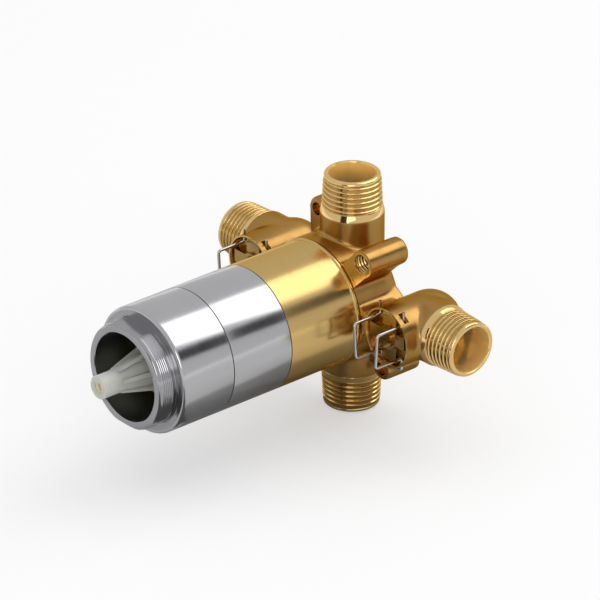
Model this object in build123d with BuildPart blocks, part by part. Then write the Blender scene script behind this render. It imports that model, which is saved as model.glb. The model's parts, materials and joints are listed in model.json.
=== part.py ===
"""Concealed mixing valve with a temperature cartridge and two side stop valves.

Millimetres. The barrel's axis is Y, with the handle end toward -Y. +Z is up.
The origin is where the barrel's axis crosses the axes of the four pipe ports.
"""

import os

from build123d import *

os.makedirs("parts", exist_ok=True)

# Clearances between pieces
RUN = 0.3          # radial gap of a piece that turns or slides
SEAT = 0.05        # radial gap of a screwed or pushed-in piece
COLLAR_GAP = 0.1   # gap between the collar and the step that it is screwed against

# Barrel and the sleeves in front of it, as stations along Y
NOSE_Y = -103.3
SHOULDER_Y = -95.5
SEAM_Y = -73.2
CHROME_Y = -47.3
COLLAR_Y = -16.9
BODY_FRONT_Y = -16.4
BODY_REAR_Y = 6.0
BARREL_ROUND = 9.0
SPIGOT_Y = -44.0
CART_BORE_R = 12.5
CART_WALL = 3.95
CART_R = CART_BORE_R + CART_WALL
BARREL_BORE_R = CART_R + SEAT
SPIGOT_WALL = 2.7
SPIGOT_R = BARREL_BORE_R + SPIGOT_WALL
COLLAR_WALL = 3.75
SLEEVE_R = SPIGOT_R + SEAT + COLLAR_WALL
SLEEVE_WALL = 2.5
SLEEVE_BORE_R = SLEEVE_R - SLEEVE_WALL
BARREL_LIP = 0.5
BARREL_R = SLEEVE_R + BARREL_LIP
BARREL_STEP = 2.5
BARREL_STEP_R = BARREL_R - BARREL_STEP
MIX_R = 11.5
MIX_REAR_Y = 2.6
EDGE = 0.5

# Nose ring
NOSE_WALL = 4.3
NOSE_BORE_R = SLEEVE_BORE_R - SEAT - NOSE_WALL
NOSE_STEP = 1.1
NOSE_THREAD_R = SLEEVE_BORE_R - NOSE_STEP
NOSE_BEVEL = 1.4
NOSE_FACE_R = NOSE_THREAD_R - NOSE_BEVEL
NOSE_FLAT = 1.5
NOSE_FLAT_Z = NOSE_THREAD_R - NOSE_FLAT
NOSE_FLAT_CUT = 2.0
NOSE_TAIL_Y = -66.0
NOSE_RIDGE = 0.5
NOSE_RIDGE_R = NOSE_THREAD_R + NOSE_RIDGE
NOSE_RIDGE_Y = -96.6
RECESS_RIM = 1.4
RECESS_R = SLEEVE_R - RECESS_RIM
RECESS = 1.6
FRONT_BEVEL = 1.1

# Pipe ports: core of the taper thread, plain land and cast neck
PORT_R = 9.7
PORT_BORE_R = 8.4
PORT_MOUTH = 1.2
LAND_R = 11.6
LAND_TIP_R = 10.6
LAND_LENGTH = 2.5
THREAD_LENGTH = 12.2
NECK_R = 11.4
NECK_BLEND = 1.5
TOP_TIP_Z = 45.6
BOTTOM_TIP_Z = 44.7
SIDE_TIP_X = 62.6
SIDE_PORT_Y = 0.5

# Stop housings beside the barrel
HOUSE_X = 36.6
HOUSE_R = 11.25
HOUSE_BORE_R = 10.3
HOUSE_FRONT_Y = -16.3
HOUSE_DOME_Y = 4.2
HOUSE_FLOOR_R = 7.6
HOUSE_FLOOR_Y = 9.0
INLET_FLOOR_X = 50.5
INLET_HOLE_R = 3.4
INLET_HOLE_Y = 5.4

# Wire clip that holds each stop insert, and the slots it passes through
CLIP_Y = -13.5
CLIP_WIRE_R = 0.55
CLIP_TOP_X = 6.0
CLIP_LOW_X = 5.1
CLIP_TIP_Z = 11.5
CLIP_LOOP_Z = 6.4
CLIP_LOOP_LOW_Z = -6.7
CLIP_LOOP_Y = -25.5
CLIP_GAP = 0.3
CLIP_BASE_R = HOUSE_R + CLIP_WIRE_R + CLIP_GAP
CLIP_BEND = 1.1
SLOT_INNER_X = 4.2
SLOT_OUTER_X = 7.8
SLOT_HALF_Y = 1.05

# Bridges between the barrel and the stop housings
BRIDGE_Z = 6.2
BRIDGE_FRONT_Y = -15.0
BRIDGE_REAR_Y = -1.0
BRIDGE_CORNER_R = 2.5

# Tapped guard bosses and plain fixing bosses
GUARD_XZ = 24.0
GUARD_R = 5.0
GUARD_HOLE_R = 3.3
GUARD_DEPTH = 11.0
GUARD_REAR_Y = 1.4
FIX_X = 17.2
FIX_Z = 25.0
FIX_R = 4.3
FIX_HOLE_R = 2.4
FIX_FRONT_Y = -1.5
FIX_REAR_Y = 13.8
FIX_ARM_Z = 8.0

# Cartridge and what holds it
CART_REAR_Y = 0.5
CART_BORE_Y = -40.0
CART_FLANGE_STEP = 0.55
CART_FLANGE_R = CART_R + CART_FLANGE_STEP
CART_FLANGE = 2.6
CART_NECK_R = 11.0
ADAPTER_CONE_Y = -90.0
ADAPTER_FLANGE = 2.2
ADAPTER_GAP = 5.8
CART_NECK_Y = ADAPTER_CONE_Y + ADAPTER_FLANGE + ADAPTER_GAP
CART_NECK_WALL = 5.0
INLET_R = 2.2
HOT_Y = -8.0
COLD_Y = -4.0
SEAL_R = 1.0
SEAL_FRONT_Y = -30.0
SEAL_REAR_Y = -14.0
SEAL_SIDE = 0.1
COLLAR_SPIGOT_R = SLEEVE_BORE_R - SEAT
COLLAR_SPIGOT_Y = -62.0
COLLAR_BORE_R = CART_FLANGE_R + 0.2
NUT_HEX = 12.8
NUT_LENGTH = 7.0

# Control spindle and the handle adapter on it
SPINDLE_R = 4.0
SPINDLE_TIP_Y = -98.0
SPINDLE_COLLAR_R = 7.0
SPINDLE_COLLAR = 3.0
SPINDLE_NOTCH_X = 4.0
SPINDLE_NOTCH_Z = 6.0
SPINDLE_SCREW_R = 5.0
SPINDLE_TAIL_Y = -57.5
CIRCLIP_R = 5.8
CIRCLIP = 0.9
ADAPTER_TIP_Y = -114.8
ADAPTER_TIP_R = 4.25
ADAPTER_SHANK = 8.0
ADAPTER_CONE_R = 7.0
ADAPTER_FLANGE_R = 10.6
ADAPTER_RIB_R = 9.2
ADAPTER_RIB = 1.2
ADAPTER_RIBS = 6
INSERT_R = 2.6
INSERT_HOLE_R = 1.55
INSERT_LENGTH = 10.0

# Pusher, element, shuttle and springs inside the cartridge
STACK_TRAVEL = 1.6
PUSHER_R = 9.0
PUSHER_FRONT_Y = -66.0
PUSHER_STEP_Y = -56.0
PUSHER_REAR_Y = -47.0
PUSHER_CUP_R = 6.8
CAP_Y = -42.0
CAP_R = 5.6
PIN_R = 1.6
GUIDE_Y = -35.0
GUIDE_R = 3.2
ELEMENT_Y = -30.0
ELEMENT_R = 5.0
ELEMENT_REAR_Y = 0.8
HUB_R = 5.3
SHUTTLE_R = CART_BORE_R - RUN
SHUTTLE_Y = -8.0
SHUTTLE_LENGTH = 3.6
SPOKE = 2.2
END_PLATE = 1.4
END_CUP_R = 6.2
END_CUP_Y = 5.3
END_HOLES = 6
END_HOLE_R = 2.2
END_WALL = 0.7
RETURN_COIL_R = 4.6

# Stop insert, spindle, plug, poppet and clip of each housing
STOP_R = HOUSE_BORE_R - SEAT
STOP_FACE_Y = CLIP_Y + CLIP_WIRE_R + 0.05
STOP_STEP_Y = 2.2
STOP_CHAMBER_R = 7.6
STOP_CHAMBER_Y = -10.4
STOP_WAIST_R = 8.7
STOP_WAIST = (-10.3, -1.7)
STOP_SEAL_Y = -11.55
STOP_SEAL_R = 0.75
STOP_SEAT_R = 4.6
STOP_SEAT_Y = -0.6
BAR_X = 8.8
BAR_TOP_Z = 3.1
BAR_LOW_Z = -1.8
BAR_Y = -15.7
LUG_X = 3.4
LUG_Z = 9.2
LUG_Y = -14.6
BOSS_R = 4.4
SCREW_R = 2.4
SCREW_HEAD_R = 3.2
SCREW_HEAD_Y = -16.0
SCREW_SLOT = 1.0
SCREW_TIP_Y = -7.7
PLUG_R = STOP_CHAMBER_R - 0.4
PLUG_Y = -10.0
PLUG_DISC = 2.0
PLUG_SLEEVE_R = 3.6
PLUG_SLEEVE_Y = -5.2
PLUG_TRAVEL = 1.5
POPPET_R = 6.0
POPPET_DISC = 1.8
POPPET_STEM_R = 2.1
POPPET_STEM_Y = -6.4
POPPET_TRAVEL = 0.9
POPPET_GAP = 0.1
CHECK_COIL_R = 4.6
CHECK_WIRE_R = 0.35
WIRE_R = 0.6


def station(y):
    """Plane across the barrel at Y = y; sketch x is X, sketch y is Z."""
    return Plane.XZ.offset(-y)


def turned_ring(outer, inner, front, rear, bevel=0.0):
    """Half section of a ring about Y, with its outer corners bevelled."""
    corners = [(inner, front), (outer - bevel, front), (outer, front + bevel)]
    corners += [(outer, rear - bevel), (outer - bevel, rear), (inner, rear)]
    if not bevel:
        corners = [(inner, front), (outer, front), (outer, rear), (inner, rear)]
    Polygon(*corners, align=None)


def coil(centre_x, radius, wire, front, rear, turns):
    """Compression spring along Y; front and rear are its ends over the wire, which has six sides."""
    rise = rear - front - 2 * wire
    with BuildLine() as path:
        Helix(rise / turns, rise, radius, center=(centre_x, front + wire, 0), direction=(0, 1, 0))
    with BuildSketch(Plane(path.line @ 0, z_dir=path.line % 0)) as section:
        RegularPolygon(wire, 6)
    sweep(section.sketch, path=path.line, is_frenet=True)


# Valve body: one brass casting with its machined ports and bores
with BuildPart() as valve_body:
    # Barrel with a rounded rear, and the spigot that carries the collar
    with BuildSketch(Plane.XY):
        with BuildLine():
            Polyline(
                (0, BODY_REAR_Y),
                (0, SPIGOT_Y),
                (SPIGOT_R, SPIGOT_Y),
                (SPIGOT_R, COLLAR_Y + COLLAR_GAP),
                (BARREL_STEP_R, COLLAR_Y + COLLAR_GAP),
                (BARREL_STEP_R, BODY_FRONT_Y),
                (BARREL_R, BODY_FRONT_Y),
                (BARREL_R, BODY_REAR_Y - BARREL_ROUND),
            )
            TangentArc((BARREL_R, BODY_REAR_Y - BARREL_ROUND), (BARREL_R - BARREL_ROUND, BODY_REAR_Y), tangent=(0, 1))
            Line((BARREL_R - BARREL_ROUND, BODY_REAR_Y), (0, BODY_REAR_Y))
        make_face()
    revolve(axis=Axis.Y)

    # Vertical tube, blended into the barrel
    with BuildSketch(Plane.XY.offset(TOP_TIP_Z - THREAD_LENGTH - LAND_LENGTH)):
        Circle(NECK_R)
    extrude(amount=LAND_LENGTH + THREAD_LENGTH - TOP_TIP_Z)
    with BuildSketch(Plane.XY.offset(THREAD_LENGTH + LAND_LENGTH - BOTTOM_TIP_Z)):
        Circle(NECK_R)
    extrude(amount=BOTTOM_TIP_Z - THREAD_LENGTH - LAND_LENGTH)
    crossings = valve_body.edges().filter_by(GeomType.BSPLINE)
    fillet(crossings, NECK_BLEND)

    # Bridges that reach the stop housings
    with BuildSketch(Plane.YZ.offset(-HOUSE_X)):
        with Locations(((BRIDGE_FRONT_Y + BRIDGE_REAR_Y) / 2, 0)):
            RectangleRounded(BRIDGE_REAR_Y - BRIDGE_FRONT_Y, 2 * BRIDGE_Z, BRIDGE_CORNER_R)
    extrude(amount=2 * HOUSE_X)

    # Webs and bosses for the guard's screws, on one diagonal
    with BuildSketch(station(BODY_FRONT_Y)):
        for side in (1, -1):
            with Locations(Location((side * GUARD_XZ / 2, side * GUARD_XZ / 2), 45)):
                Rectangle(GUARD_XZ * 2**0.5, 2 * GUARD_R - 0.8)
    extrude(amount=BODY_FRONT_Y)
    with BuildSketch(station(BODY_FRONT_Y)):
        with Locations((GUARD_XZ, GUARD_XZ), (-GUARD_XZ, -GUARD_XZ)):
            Circle(GUARD_R)
    extrude(amount=BODY_FRONT_Y - GUARD_REAR_Y)

    # Fixing bosses and their webs, on the other diagonal
    with BuildSketch(station(FIX_FRONT_Y)):
        for side in (1, -1):
            with BuildLine():
                Polyline(
                    (side * -(FIX_X + FIX_R), side * FIX_Z),
                    (side * -(FIX_X + FIX_R - 1), side * FIX_ARM_Z),
                    (0, side * FIX_ARM_Z),
                    (side * -(FIX_X - FIX_R), side * FIX_Z),
                    close=True,
                )
            make_face()
    extrude(amount=FIX_FRONT_Y - BODY_REAR_Y)
    with BuildSketch(station(FIX_FRONT_Y)):
        with Locations((-FIX_X, FIX_Z), (FIX_X, -FIX_Z)):
            Circle(FIX_R)
    extrude(amount=FIX_FRONT_Y - FIX_REAR_Y)

    # Lands and thread cores of the two outlets
    for direction, tip in ((1, TOP_TIP_Z), (-1, BOTTOM_TIP_Z)):
        with BuildSketch(Plane.XZ):
            with BuildLine():
                shoulder = tip - THREAD_LENGTH - LAND_LENGTH
                Polyline(
                    (0, direction * (shoulder - 1)),
                    (NECK_R - 1, direction * (shoulder - 1)),
                    (NECK_R - 1, direction * shoulder),
                    (LAND_R, direction * shoulder),
                    (LAND_R, direction * (shoulder + 0.5 * LAND_LENGTH)),
                    (LAND_TIP_R, direction * (shoulder + LAND_LENGTH)),
                    (PORT_R, direction * (shoulder + LAND_LENGTH)),
                    (PORT_R, direction * (tip - 0.6)),
                    (PORT_R - 0.4, direction * tip),
                    (0, direction * tip),
                    close=True,
                )
            make_face()
        revolve(axis=Axis.Z)

    for side in (1, -1):
        # Stop housing with a domed rear
        with BuildSketch(Plane.XY):
            with BuildLine():
                dome = HOUSE_DOME_Y + HOUSE_R
                Polyline(
                    (side * HOUSE_X, dome),
                    (side * HOUSE_X, HOUSE_FRONT_Y),
                    (side * (HOUSE_X + HOUSE_R), HOUSE_FRONT_Y),
                    (side * (HOUSE_X + HOUSE_R), HOUSE_DOME_Y),
                )
                TangentArc((side * (HOUSE_X + HOUSE_R), HOUSE_DOME_Y), (side * HOUSE_X, dome), tangent=(0, 1))
            make_face()
        revolve(axis=Axis((side * HOUSE_X, 0, 0), (0, 1, 0)))

        # Inlet neck, land and thread core
        with BuildSketch(Plane.XY):
            with BuildLine():
                shoulder = SIDE_TIP_X - THREAD_LENGTH - LAND_LENGTH
                Polyline(
                    (side * HOUSE_X, SIDE_PORT_Y),
                    (side * HOUSE_X, SIDE_PORT_Y + NECK_R),
                    (side * shoulder, SIDE_PORT_Y + NECK_R),
                    (side * shoulder, SIDE_PORT_Y + LAND_R),
                    (side * (shoulder + 0.5 * LAND_LENGTH), SIDE_PORT_Y + LAND_R),
                    (side * (shoulder + LAND_LENGTH), SIDE_PORT_Y + LAND_TIP_R),
                    (side * (shoulder + LAND_LENGTH), SIDE_PORT_Y + PORT_R),
                    (side * (SIDE_TIP_X - 0.6), SIDE_PORT_Y + PORT_R),
                    (side * SIDE_TIP_X, SIDE_PORT_Y + PORT_R - 0.4),
                    (side * SIDE_TIP_X, SIDE_PORT_Y),
                    close=True,
                )
            make_face()
        revolve(axis=Axis((0, SIDE_PORT_Y, 0), (1, 0, 0)))
    # Chambers: cartridge bore with its counterbore, and the mixed-water chamber
    with BuildSketch(Plane.XY):
        with BuildLine():
            Polyline(
                (0, SPIGOT_Y),
                (COLLAR_BORE_R, SPIGOT_Y),
                (COLLAR_BORE_R, SPIGOT_Y + CART_FLANGE),
                (BARREL_BORE_R, SPIGOT_Y + CART_FLANGE),
                (BARREL_BORE_R, CART_REAR_Y),
                (MIX_R, CART_REAR_Y),
                (MIX_R, MIX_REAR_Y),
                (0, MIX_REAR_Y),
                close=True,
            )
        make_face()
    revolve(axis=Axis.Y, mode=Mode.SUBTRACT)

    # Outlet bore right through, with a countersunk mouth at each end
    with BuildSketch(Plane.XZ):
        with BuildLine():
            Polyline(
                (0, -BOTTOM_TIP_Z),
                (PORT_BORE_R + PORT_MOUTH / 2, -BOTTOM_TIP_Z),
                (PORT_BORE_R, PORT_MOUTH - BOTTOM_TIP_Z),
                (PORT_BORE_R, TOP_TIP_Z - PORT_MOUTH),
                (PORT_BORE_R + PORT_MOUTH / 2, TOP_TIP_Z),
                (0, TOP_TIP_Z),
                close=True,
            )
        make_face()
    revolve(axis=Axis.Z, mode=Mode.SUBTRACT)

    for side, passage_y in ((-1, HOT_Y), (1, COLD_Y)):
        # Stepped bore of the stop housing
        with BuildSketch(Plane.XY):
            with BuildLine():
                Polyline(
                    (side * HOUSE_X, HOUSE_FRONT_Y),
                    (side * (HOUSE_X + HOUSE_BORE_R), HOUSE_FRONT_Y),
                    (side * (HOUSE_X + HOUSE_BORE_R), STOP_STEP_Y),
                    (side * (HOUSE_X + HOUSE_FLOOR_R), STOP_STEP_Y),
                    (side * (HOUSE_X + HOUSE_FLOOR_R), HOUSE_FLOOR_Y),
                    (side * (HOUSE_X + HOUSE_FLOOR_R - 3), HOUSE_FLOOR_Y + 2.5),
                    (side * HOUSE_X, HOUSE_FLOOR_Y + 2.5),
                    close=True,
                )
            make_face()
        revolve(axis=Axis((side * HOUSE_X, 0, 0), (0, 1, 0)), mode=Mode.SUBTRACT)

        # Inlet bore with a coned floor, and the hole that leads in behind the seat
        with BuildSketch(Plane.XY):
            with BuildLine():
                Polyline(
                    (side * (INLET_FLOOR_X - 3), SIDE_PORT_Y),
                    (side * INLET_FLOOR_X, SIDE_PORT_Y + PORT_BORE_R),
                    (side * (SIDE_TIP_X - PORT_MOUTH), SIDE_PORT_Y + PORT_BORE_R),
                    (side * SIDE_TIP_X, SIDE_PORT_Y + PORT_BORE_R + PORT_MOUTH / 2),
                    (side * SIDE_TIP_X, SIDE_PORT_Y),
                    close=True,
                )
            make_face()
        revolve(axis=Axis((0, SIDE_PORT_Y, 0), (1, 0, 0)), mode=Mode.SUBTRACT)
        with BuildSketch(Plane.YZ.offset(side * HOUSE_X)):
            with Locations((INLET_HOLE_Y, 0)):
                Circle(INLET_HOLE_R)
        extrude(amount=side * (INLET_FLOOR_X + 1 - HOUSE_X), mode=Mode.SUBTRACT)

        # Passage from the stop's waist to the cartridge
        with BuildSketch(Plane.YZ.offset(side * BARREL_BORE_R * 0.9)):
            with Locations((passage_y, 0)):
                Circle(INLET_R)
        extrude(amount=side * (HOUSE_X - BARREL_BORE_R * 0.9), mode=Mode.SUBTRACT)

        # Slots for the legs of the wire clip
        with BuildSketch(Plane.XY.offset(-HOUSE_R - 1)):
            for leg in (1, -1):
                with Locations((side * HOUSE_X + leg * (SLOT_INNER_X + SLOT_OUTER_X) / 2, CLIP_Y)):
                    Rectangle(SLOT_OUTER_X - SLOT_INNER_X, 2 * SLOT_HALF_Y)
        extrude(amount=2 * (HOUSE_R + 1), mode=Mode.SUBTRACT)

    # Tapped holes of the guard bosses and plain holes of the fixing bosses
    with BuildSketch(station(BODY_FRONT_Y)):
        with Locations((GUARD_XZ, GUARD_XZ), (-GUARD_XZ, -GUARD_XZ)):
            Circle(GUARD_HOLE_R)
    extrude(amount=-GUARD_DEPTH, mode=Mode.SUBTRACT)
    with BuildSketch(station(FIX_REAR_Y)):
        with Locations((-FIX_X, FIX_Z), (FIX_X, -FIX_Z)):
            Circle(FIX_HOLE_R)
    extrude(amount=FIX_REAR_Y - FIX_FRONT_Y, mode=Mode.SUBTRACT)

# Collar: brass sleeve screwed over the body's spigot, with a spigot of its own
with BuildPart() as body_collar:
    with BuildSketch(Plane.XY):
        with BuildLine():
            Polyline(
                (COLLAR_BORE_R, COLLAR_SPIGOT_Y),
                (COLLAR_SPIGOT_R, COLLAR_SPIGOT_Y),
                (COLLAR_SPIGOT_R, CHROME_Y),
                (SLEEVE_R - EDGE, CHROME_Y),
                (SLEEVE_R, CHROME_Y + EDGE),
                (SLEEVE_R, COLLAR_Y - EDGE),
                (SLEEVE_R - EDGE, COLLAR_Y),
                (SPIGOT_R + SEAT, COLLAR_Y),
                (SPIGOT_R + SEAT, SPIGOT_Y - SEAT),
                (COLLAR_BORE_R, SPIGOT_Y - SEAT),
                close=True,
            )
        make_face()
    revolve(axis=Axis.Y)

# Two polished sleeves in front of the collar
with BuildPart() as rear_sleeve:
    with BuildSketch(Plane.XY):
        turned_ring(SLEEVE_R, SLEEVE_BORE_R, SEAM_Y, CHROME_Y, EDGE / 2)
    revolve(axis=Axis.Y)

with BuildPart() as front_sleeve:
    with BuildSketch(Plane.XY):
        with BuildLine():
            Polyline(
                (RECESS_R, SHOULDER_Y),
                (SLEEVE_R - FRONT_BEVEL, SHOULDER_Y),
                (SLEEVE_R, SHOULDER_Y + FRONT_BEVEL),
                (SLEEVE_R, SEAM_Y - EDGE / 2),
                (SLEEVE_R - EDGE / 2, SEAM_Y),
                (SLEEVE_BORE_R, SEAM_Y),
                (SLEEVE_BORE_R, SHOULDER_Y + RECESS),
                (RECESS_R, SHOULDER_Y + RECESS),
                close=True,
            )
        make_face()
    revolve(axis=Axis.Y)

# Nose ring: core of the fine thread with two wrench flats, and a long tail
with BuildPart() as nose_ring:
    with BuildSketch(Plane.XY):
        with BuildLine():
            Polyline(
                (NOSE_BORE_R, NOSE_Y),
                (NOSE_FACE_R, NOSE_Y),
                (NOSE_THREAD_R, NOSE_Y + 1.0),
                (NOSE_THREAD_R, NOSE_RIDGE_Y),
                (NOSE_RIDGE_R, NOSE_RIDGE_Y),
                (NOSE_RIDGE_R, NOSE_RIDGE_Y + 0.5),
                (NOSE_THREAD_R - 0.5, NOSE_RIDGE_Y + 0.5),
                (NOSE_THREAD_R - 0.5, SHOULDER_Y + RECESS + SEAT),
                (SLEEVE_BORE_R - SEAT, SHOULDER_Y + RECESS + SEAT),
                (SLEEVE_BORE_R - SEAT, NOSE_TAIL_Y),
                (NOSE_BORE_R, NOSE_TAIL_Y),
                close=True,
            )
        make_face()
    revolve(axis=Axis.Y)
    with BuildSketch(station(NOSE_RIDGE_Y)):
        for direction in (1, -1):
            with Locations((0, direction * (NOSE_FLAT_Z + NOSE_FLAT_CUT))):
                Rectangle(2 * NOSE_THREAD_R, 2 * NOSE_FLAT_CUT)
    extrude(amount=NOSE_RIDGE_Y - NOSE_Y, mode=Mode.SUBTRACT)

# Cartridge: body, end plate, seals and the nut that clamps it
with BuildPart() as cartridge_body:
    with BuildSketch(Plane.XY):
        with BuildLine():
            neck_wall_y = CART_NECK_Y + CART_NECK_WALL
            Polyline(
                (SPINDLE_R + SEAT, CART_NECK_Y),
                (CART_NECK_R - 1, CART_NECK_Y),
                (CART_NECK_R, CART_NECK_Y + 1),
                (CART_NECK_R, SPIGOT_Y),
                (CART_FLANGE_R, SPIGOT_Y),
                (CART_FLANGE_R, SPIGOT_Y + CART_FLANGE),
                (CART_R, SPIGOT_Y + CART_FLANGE),
                (CART_R, CART_REAR_Y),
                (CART_BORE_R, CART_REAR_Y),
                (CART_BORE_R, CART_BORE_Y),
                (PUSHER_R + RUN, CART_BORE_Y),
                (PUSHER_R + RUN, PUSHER_FRONT_Y - 3),
                (SPINDLE_COLLAR_R + RUN, PUSHER_FRONT_Y - 3),
                (SPINDLE_COLLAR_R + RUN, neck_wall_y),
                (SPINDLE_R + SEAT, neck_wall_y),
                close=True,
            )
        make_face()
        for seal_y in (SEAL_FRONT_Y, SEAL_REAR_Y):
            with BuildLine():
                Polyline(
                    (CART_R - 2 * SEAL_R, seal_y - SEAL_R - SEAL_SIDE),
                    (CART_R + 1, seal_y - SEAL_R - SEAL_SIDE),
                    (CART_R + 1, seal_y + SEAL_R + SEAL_SIDE),
                    (CART_R - 2 * SEAL_R, seal_y + SEAL_R + SEAL_SIDE),
                    close=True,
                )
            make_face(mode=Mode.SUBTRACT)
    revolve(axis=Axis.Y)
    for side, inlet_y in ((-1, HOT_Y), (1, COLD_Y)):
        with BuildSketch(Plane.YZ.offset(side * CART_BORE_R * 0.9)):
            with Locations((inlet_y, 0)):
                Circle(INLET_R)
        extrude(amount=side * 6, mode=Mode.SUBTRACT)

with BuildPart() as cartridge_end:
    with BuildSketch(Plane.XY):
        with BuildLine():
            Polyline(
                (0, END_CUP_Y),
                (END_CUP_R, END_CUP_Y),
                (END_CUP_R, CART_REAR_Y),
                (CART_BORE_R - SEAT, CART_REAR_Y),
                (CART_BORE_R - SEAT, CART_REAR_Y - END_PLATE),
                (END_CUP_R - END_WALL, CART_REAR_Y - END_PLATE),
                (END_CUP_R - END_WALL, END_CUP_Y - END_WALL),
                (0, END_CUP_Y - END_WALL),
                close=True,
            )
        make_face()
    revolve(axis=Axis.Y)
    with BuildSketch(station(END_CUP_Y)):
        with PolarLocations((END_CUP_R + CART_BORE_R) / 2, END_HOLES):
            Circle(END_HOLE_R)
    extrude(amount=END_CUP_Y + 2, mode=Mode.SUBTRACT)

with BuildPart() as cartridge_seals:
    for seal_y in (SEAL_FRONT_Y, SEAL_REAR_Y):
        with BuildSketch(Plane.XY):
            with Locations((CART_R - SEAL_R, seal_y)):
                Circle(SEAL_R - SEAT)
        revolve(axis=Axis.Y)

with BuildPart() as cartridge_nut:
    with BuildSketch(station(SPIGOT_Y)):
        Circle(COLLAR_BORE_R - SEAT)
        RegularPolygon(NUT_HEX, 6, major_radius=False, mode=Mode.SUBTRACT)
    extrude(amount=NUT_LENGTH)
    nut_rim = cartridge_nut.edges().filter_by(GeomType.CIRCLE)
    chamfer(nut_rim, EDGE)

# Control spindle, its circlip, and the handle adapter with its brass insert
with BuildPart() as control_spindle:
    with BuildSketch(Plane.XY):
        with BuildLine():
            collar_y = CART_NECK_Y + CART_NECK_WALL + SEAT
            Polyline(
                (0, SPINDLE_TIP_Y),
                (SPINDLE_R - 0.5, SPINDLE_TIP_Y),
                (SPINDLE_R, SPINDLE_TIP_Y + 0.5),
                (SPINDLE_R, collar_y),
                (SPINDLE_COLLAR_R, collar_y),
                (SPINDLE_COLLAR_R, collar_y + SPINDLE_COLLAR),
                (SPINDLE_SCREW_R, collar_y + SPINDLE_COLLAR),
                (SPINDLE_SCREW_R, SPINDLE_TAIL_Y),
                (0, SPINDLE_TAIL_Y),
                close=True,
            )
        make_face()
    revolve(axis=Axis.Y)

with BuildPart() as spindle_circlip:
    with BuildSketch(station(collar_y + SPINDLE_COLLAR + SEAT)):
        Circle(SPINDLE_COLLAR_R + RUN)
        Circle(CIRCLIP_R, mode=Mode.SUBTRACT)
        with Locations((0, -SPINDLE_COLLAR_R)):
            Rectangle(SPINDLE_NOTCH_X, SPINDLE_NOTCH_Z, mode=Mode.SUBTRACT)
    extrude(amount=-CIRCLIP)

with BuildPart() as handle_adapter:
    with BuildSketch(Plane.XY):
        with BuildLine():
            shank_y = ADAPTER_TIP_Y + ADAPTER_SHANK
            flange_rear_y = ADAPTER_CONE_Y + ADAPTER_FLANGE
            Polyline(
                (INSERT_R + SEAT / 2, ADAPTER_TIP_Y),
                (ADAPTER_TIP_R - 0.4, ADAPTER_TIP_Y),
                (ADAPTER_TIP_R, ADAPTER_TIP_Y + 0.4),
                (ADAPTER_TIP_R, shank_y),
                (ADAPTER_CONE_R, ADAPTER_CONE_Y),
                (ADAPTER_FLANGE_R, ADAPTER_CONE_Y),
                (ADAPTER_FLANGE_R, flange_rear_y),
                (SPINDLE_R + SEAT / 2, flange_rear_y),
                (SPINDLE_R + SEAT / 2, SPINDLE_TIP_Y - 0.3),
                (INSERT_R + SEAT / 2, SPINDLE_TIP_Y - 0.3),
                close=True,
            )
        make_face()
    revolve(axis=Axis.Y)
    with BuildSketch(Plane.XY) as rib:
        with BuildLine():
            Polyline(
                (ADAPTER_TIP_R - 0.5, shank_y),
                (ADAPTER_TIP_R + 0.3, shank_y),
                (ADAPTER_RIB_R, ADAPTER_CONE_Y + 0.2),
                (ADAPTER_CONE_R - 0.8, ADAPTER_CONE_Y + 0.2),
                close=True,
            )
        make_face()
    one_rib = extrude(rib.sketch, amount=ADAPTER_RIB / 2, both=True, mode=Mode.PRIVATE)
    for index in range(ADAPTER_RIBS):
        add(one_rib.rotate(Axis.Y, 360 / ADAPTER_RIBS * index + 15))

with BuildPart() as adapter_insert:
    with BuildSketch(Plane.XY):
        turned_ring(INSERT_R, INSERT_HOLE_R, ADAPTER_TIP_Y - 0.1, ADAPTER_TIP_Y + INSERT_LENGTH)
    revolve(axis=Axis.Y)

# Sliding stack: pusher, overtravel spring, pin with its cap, element and shuttle
with BuildPart() as pusher:
    with BuildSketch(Plane.XY):
        with BuildLine():
            Polyline(
                (SPINDLE_SCREW_R + SEAT, PUSHER_FRONT_Y),
                (PUSHER_R, PUSHER_FRONT_Y),
                (PUSHER_R, PUSHER_REAR_Y),
                (PUSHER_CUP_R, PUSHER_REAR_Y),
                (PUSHER_CUP_R, PUSHER_STEP_Y),
                (SPINDLE_SCREW_R + SEAT, PUSHER_STEP_Y),
                close=True,
            )
        make_face()
    revolve(axis=Axis.Y)

with BuildPart() as overtravel_spring:
    coil(0, CAP_R, WIRE_R, PUSHER_STEP_Y, CAP_Y, 5)

with BuildPart() as element_pin:
    with BuildSketch(Plane.XY):
        with BuildLine():
            Polyline(
                (0, CAP_Y - 3),
                (CAP_R - WIRE_R - 0.5, CAP_Y - 3),
                (CAP_R - WIRE_R - 0.5, CAP_Y),
                (CAP_R + WIRE_R, CAP_Y),
                (CAP_R + WIRE_R, CAP_Y + 1.5),
                (PIN_R, CAP_Y + 1.5),
                (PIN_R, GUIDE_Y + 2),
                (0, GUIDE_Y + 2),
                close=True,
            )
        make_face()
    revolve(axis=Axis.Y)

with BuildPart() as wax_element:
    with BuildSketch(Plane.XY):
        with BuildLine():
            Polyline(
                (0, GUIDE_Y + 2.2),
                (PIN_R + SEAT, GUIDE_Y + 2.2),
                (PIN_R + SEAT, GUIDE_Y),
                (GUIDE_R, GUIDE_Y),
                (GUIDE_R, ELEMENT_Y),
                (ELEMENT_R + 0.8, ELEMENT_Y),
                (ELEMENT_R + 0.8, ELEMENT_Y + 2),
                (ELEMENT_R, ELEMENT_Y + 2),
                (ELEMENT_R, SHUTTLE_Y + 0.2),
                (ELEMENT_R - 2.2, SHUTTLE_Y + 0.2),
                (ELEMENT_R - 2.2, ELEMENT_REAR_Y),
                (0, ELEMENT_REAR_Y),
                close=True,
            )
        make_face()
    revolve(axis=Axis.Y)

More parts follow.
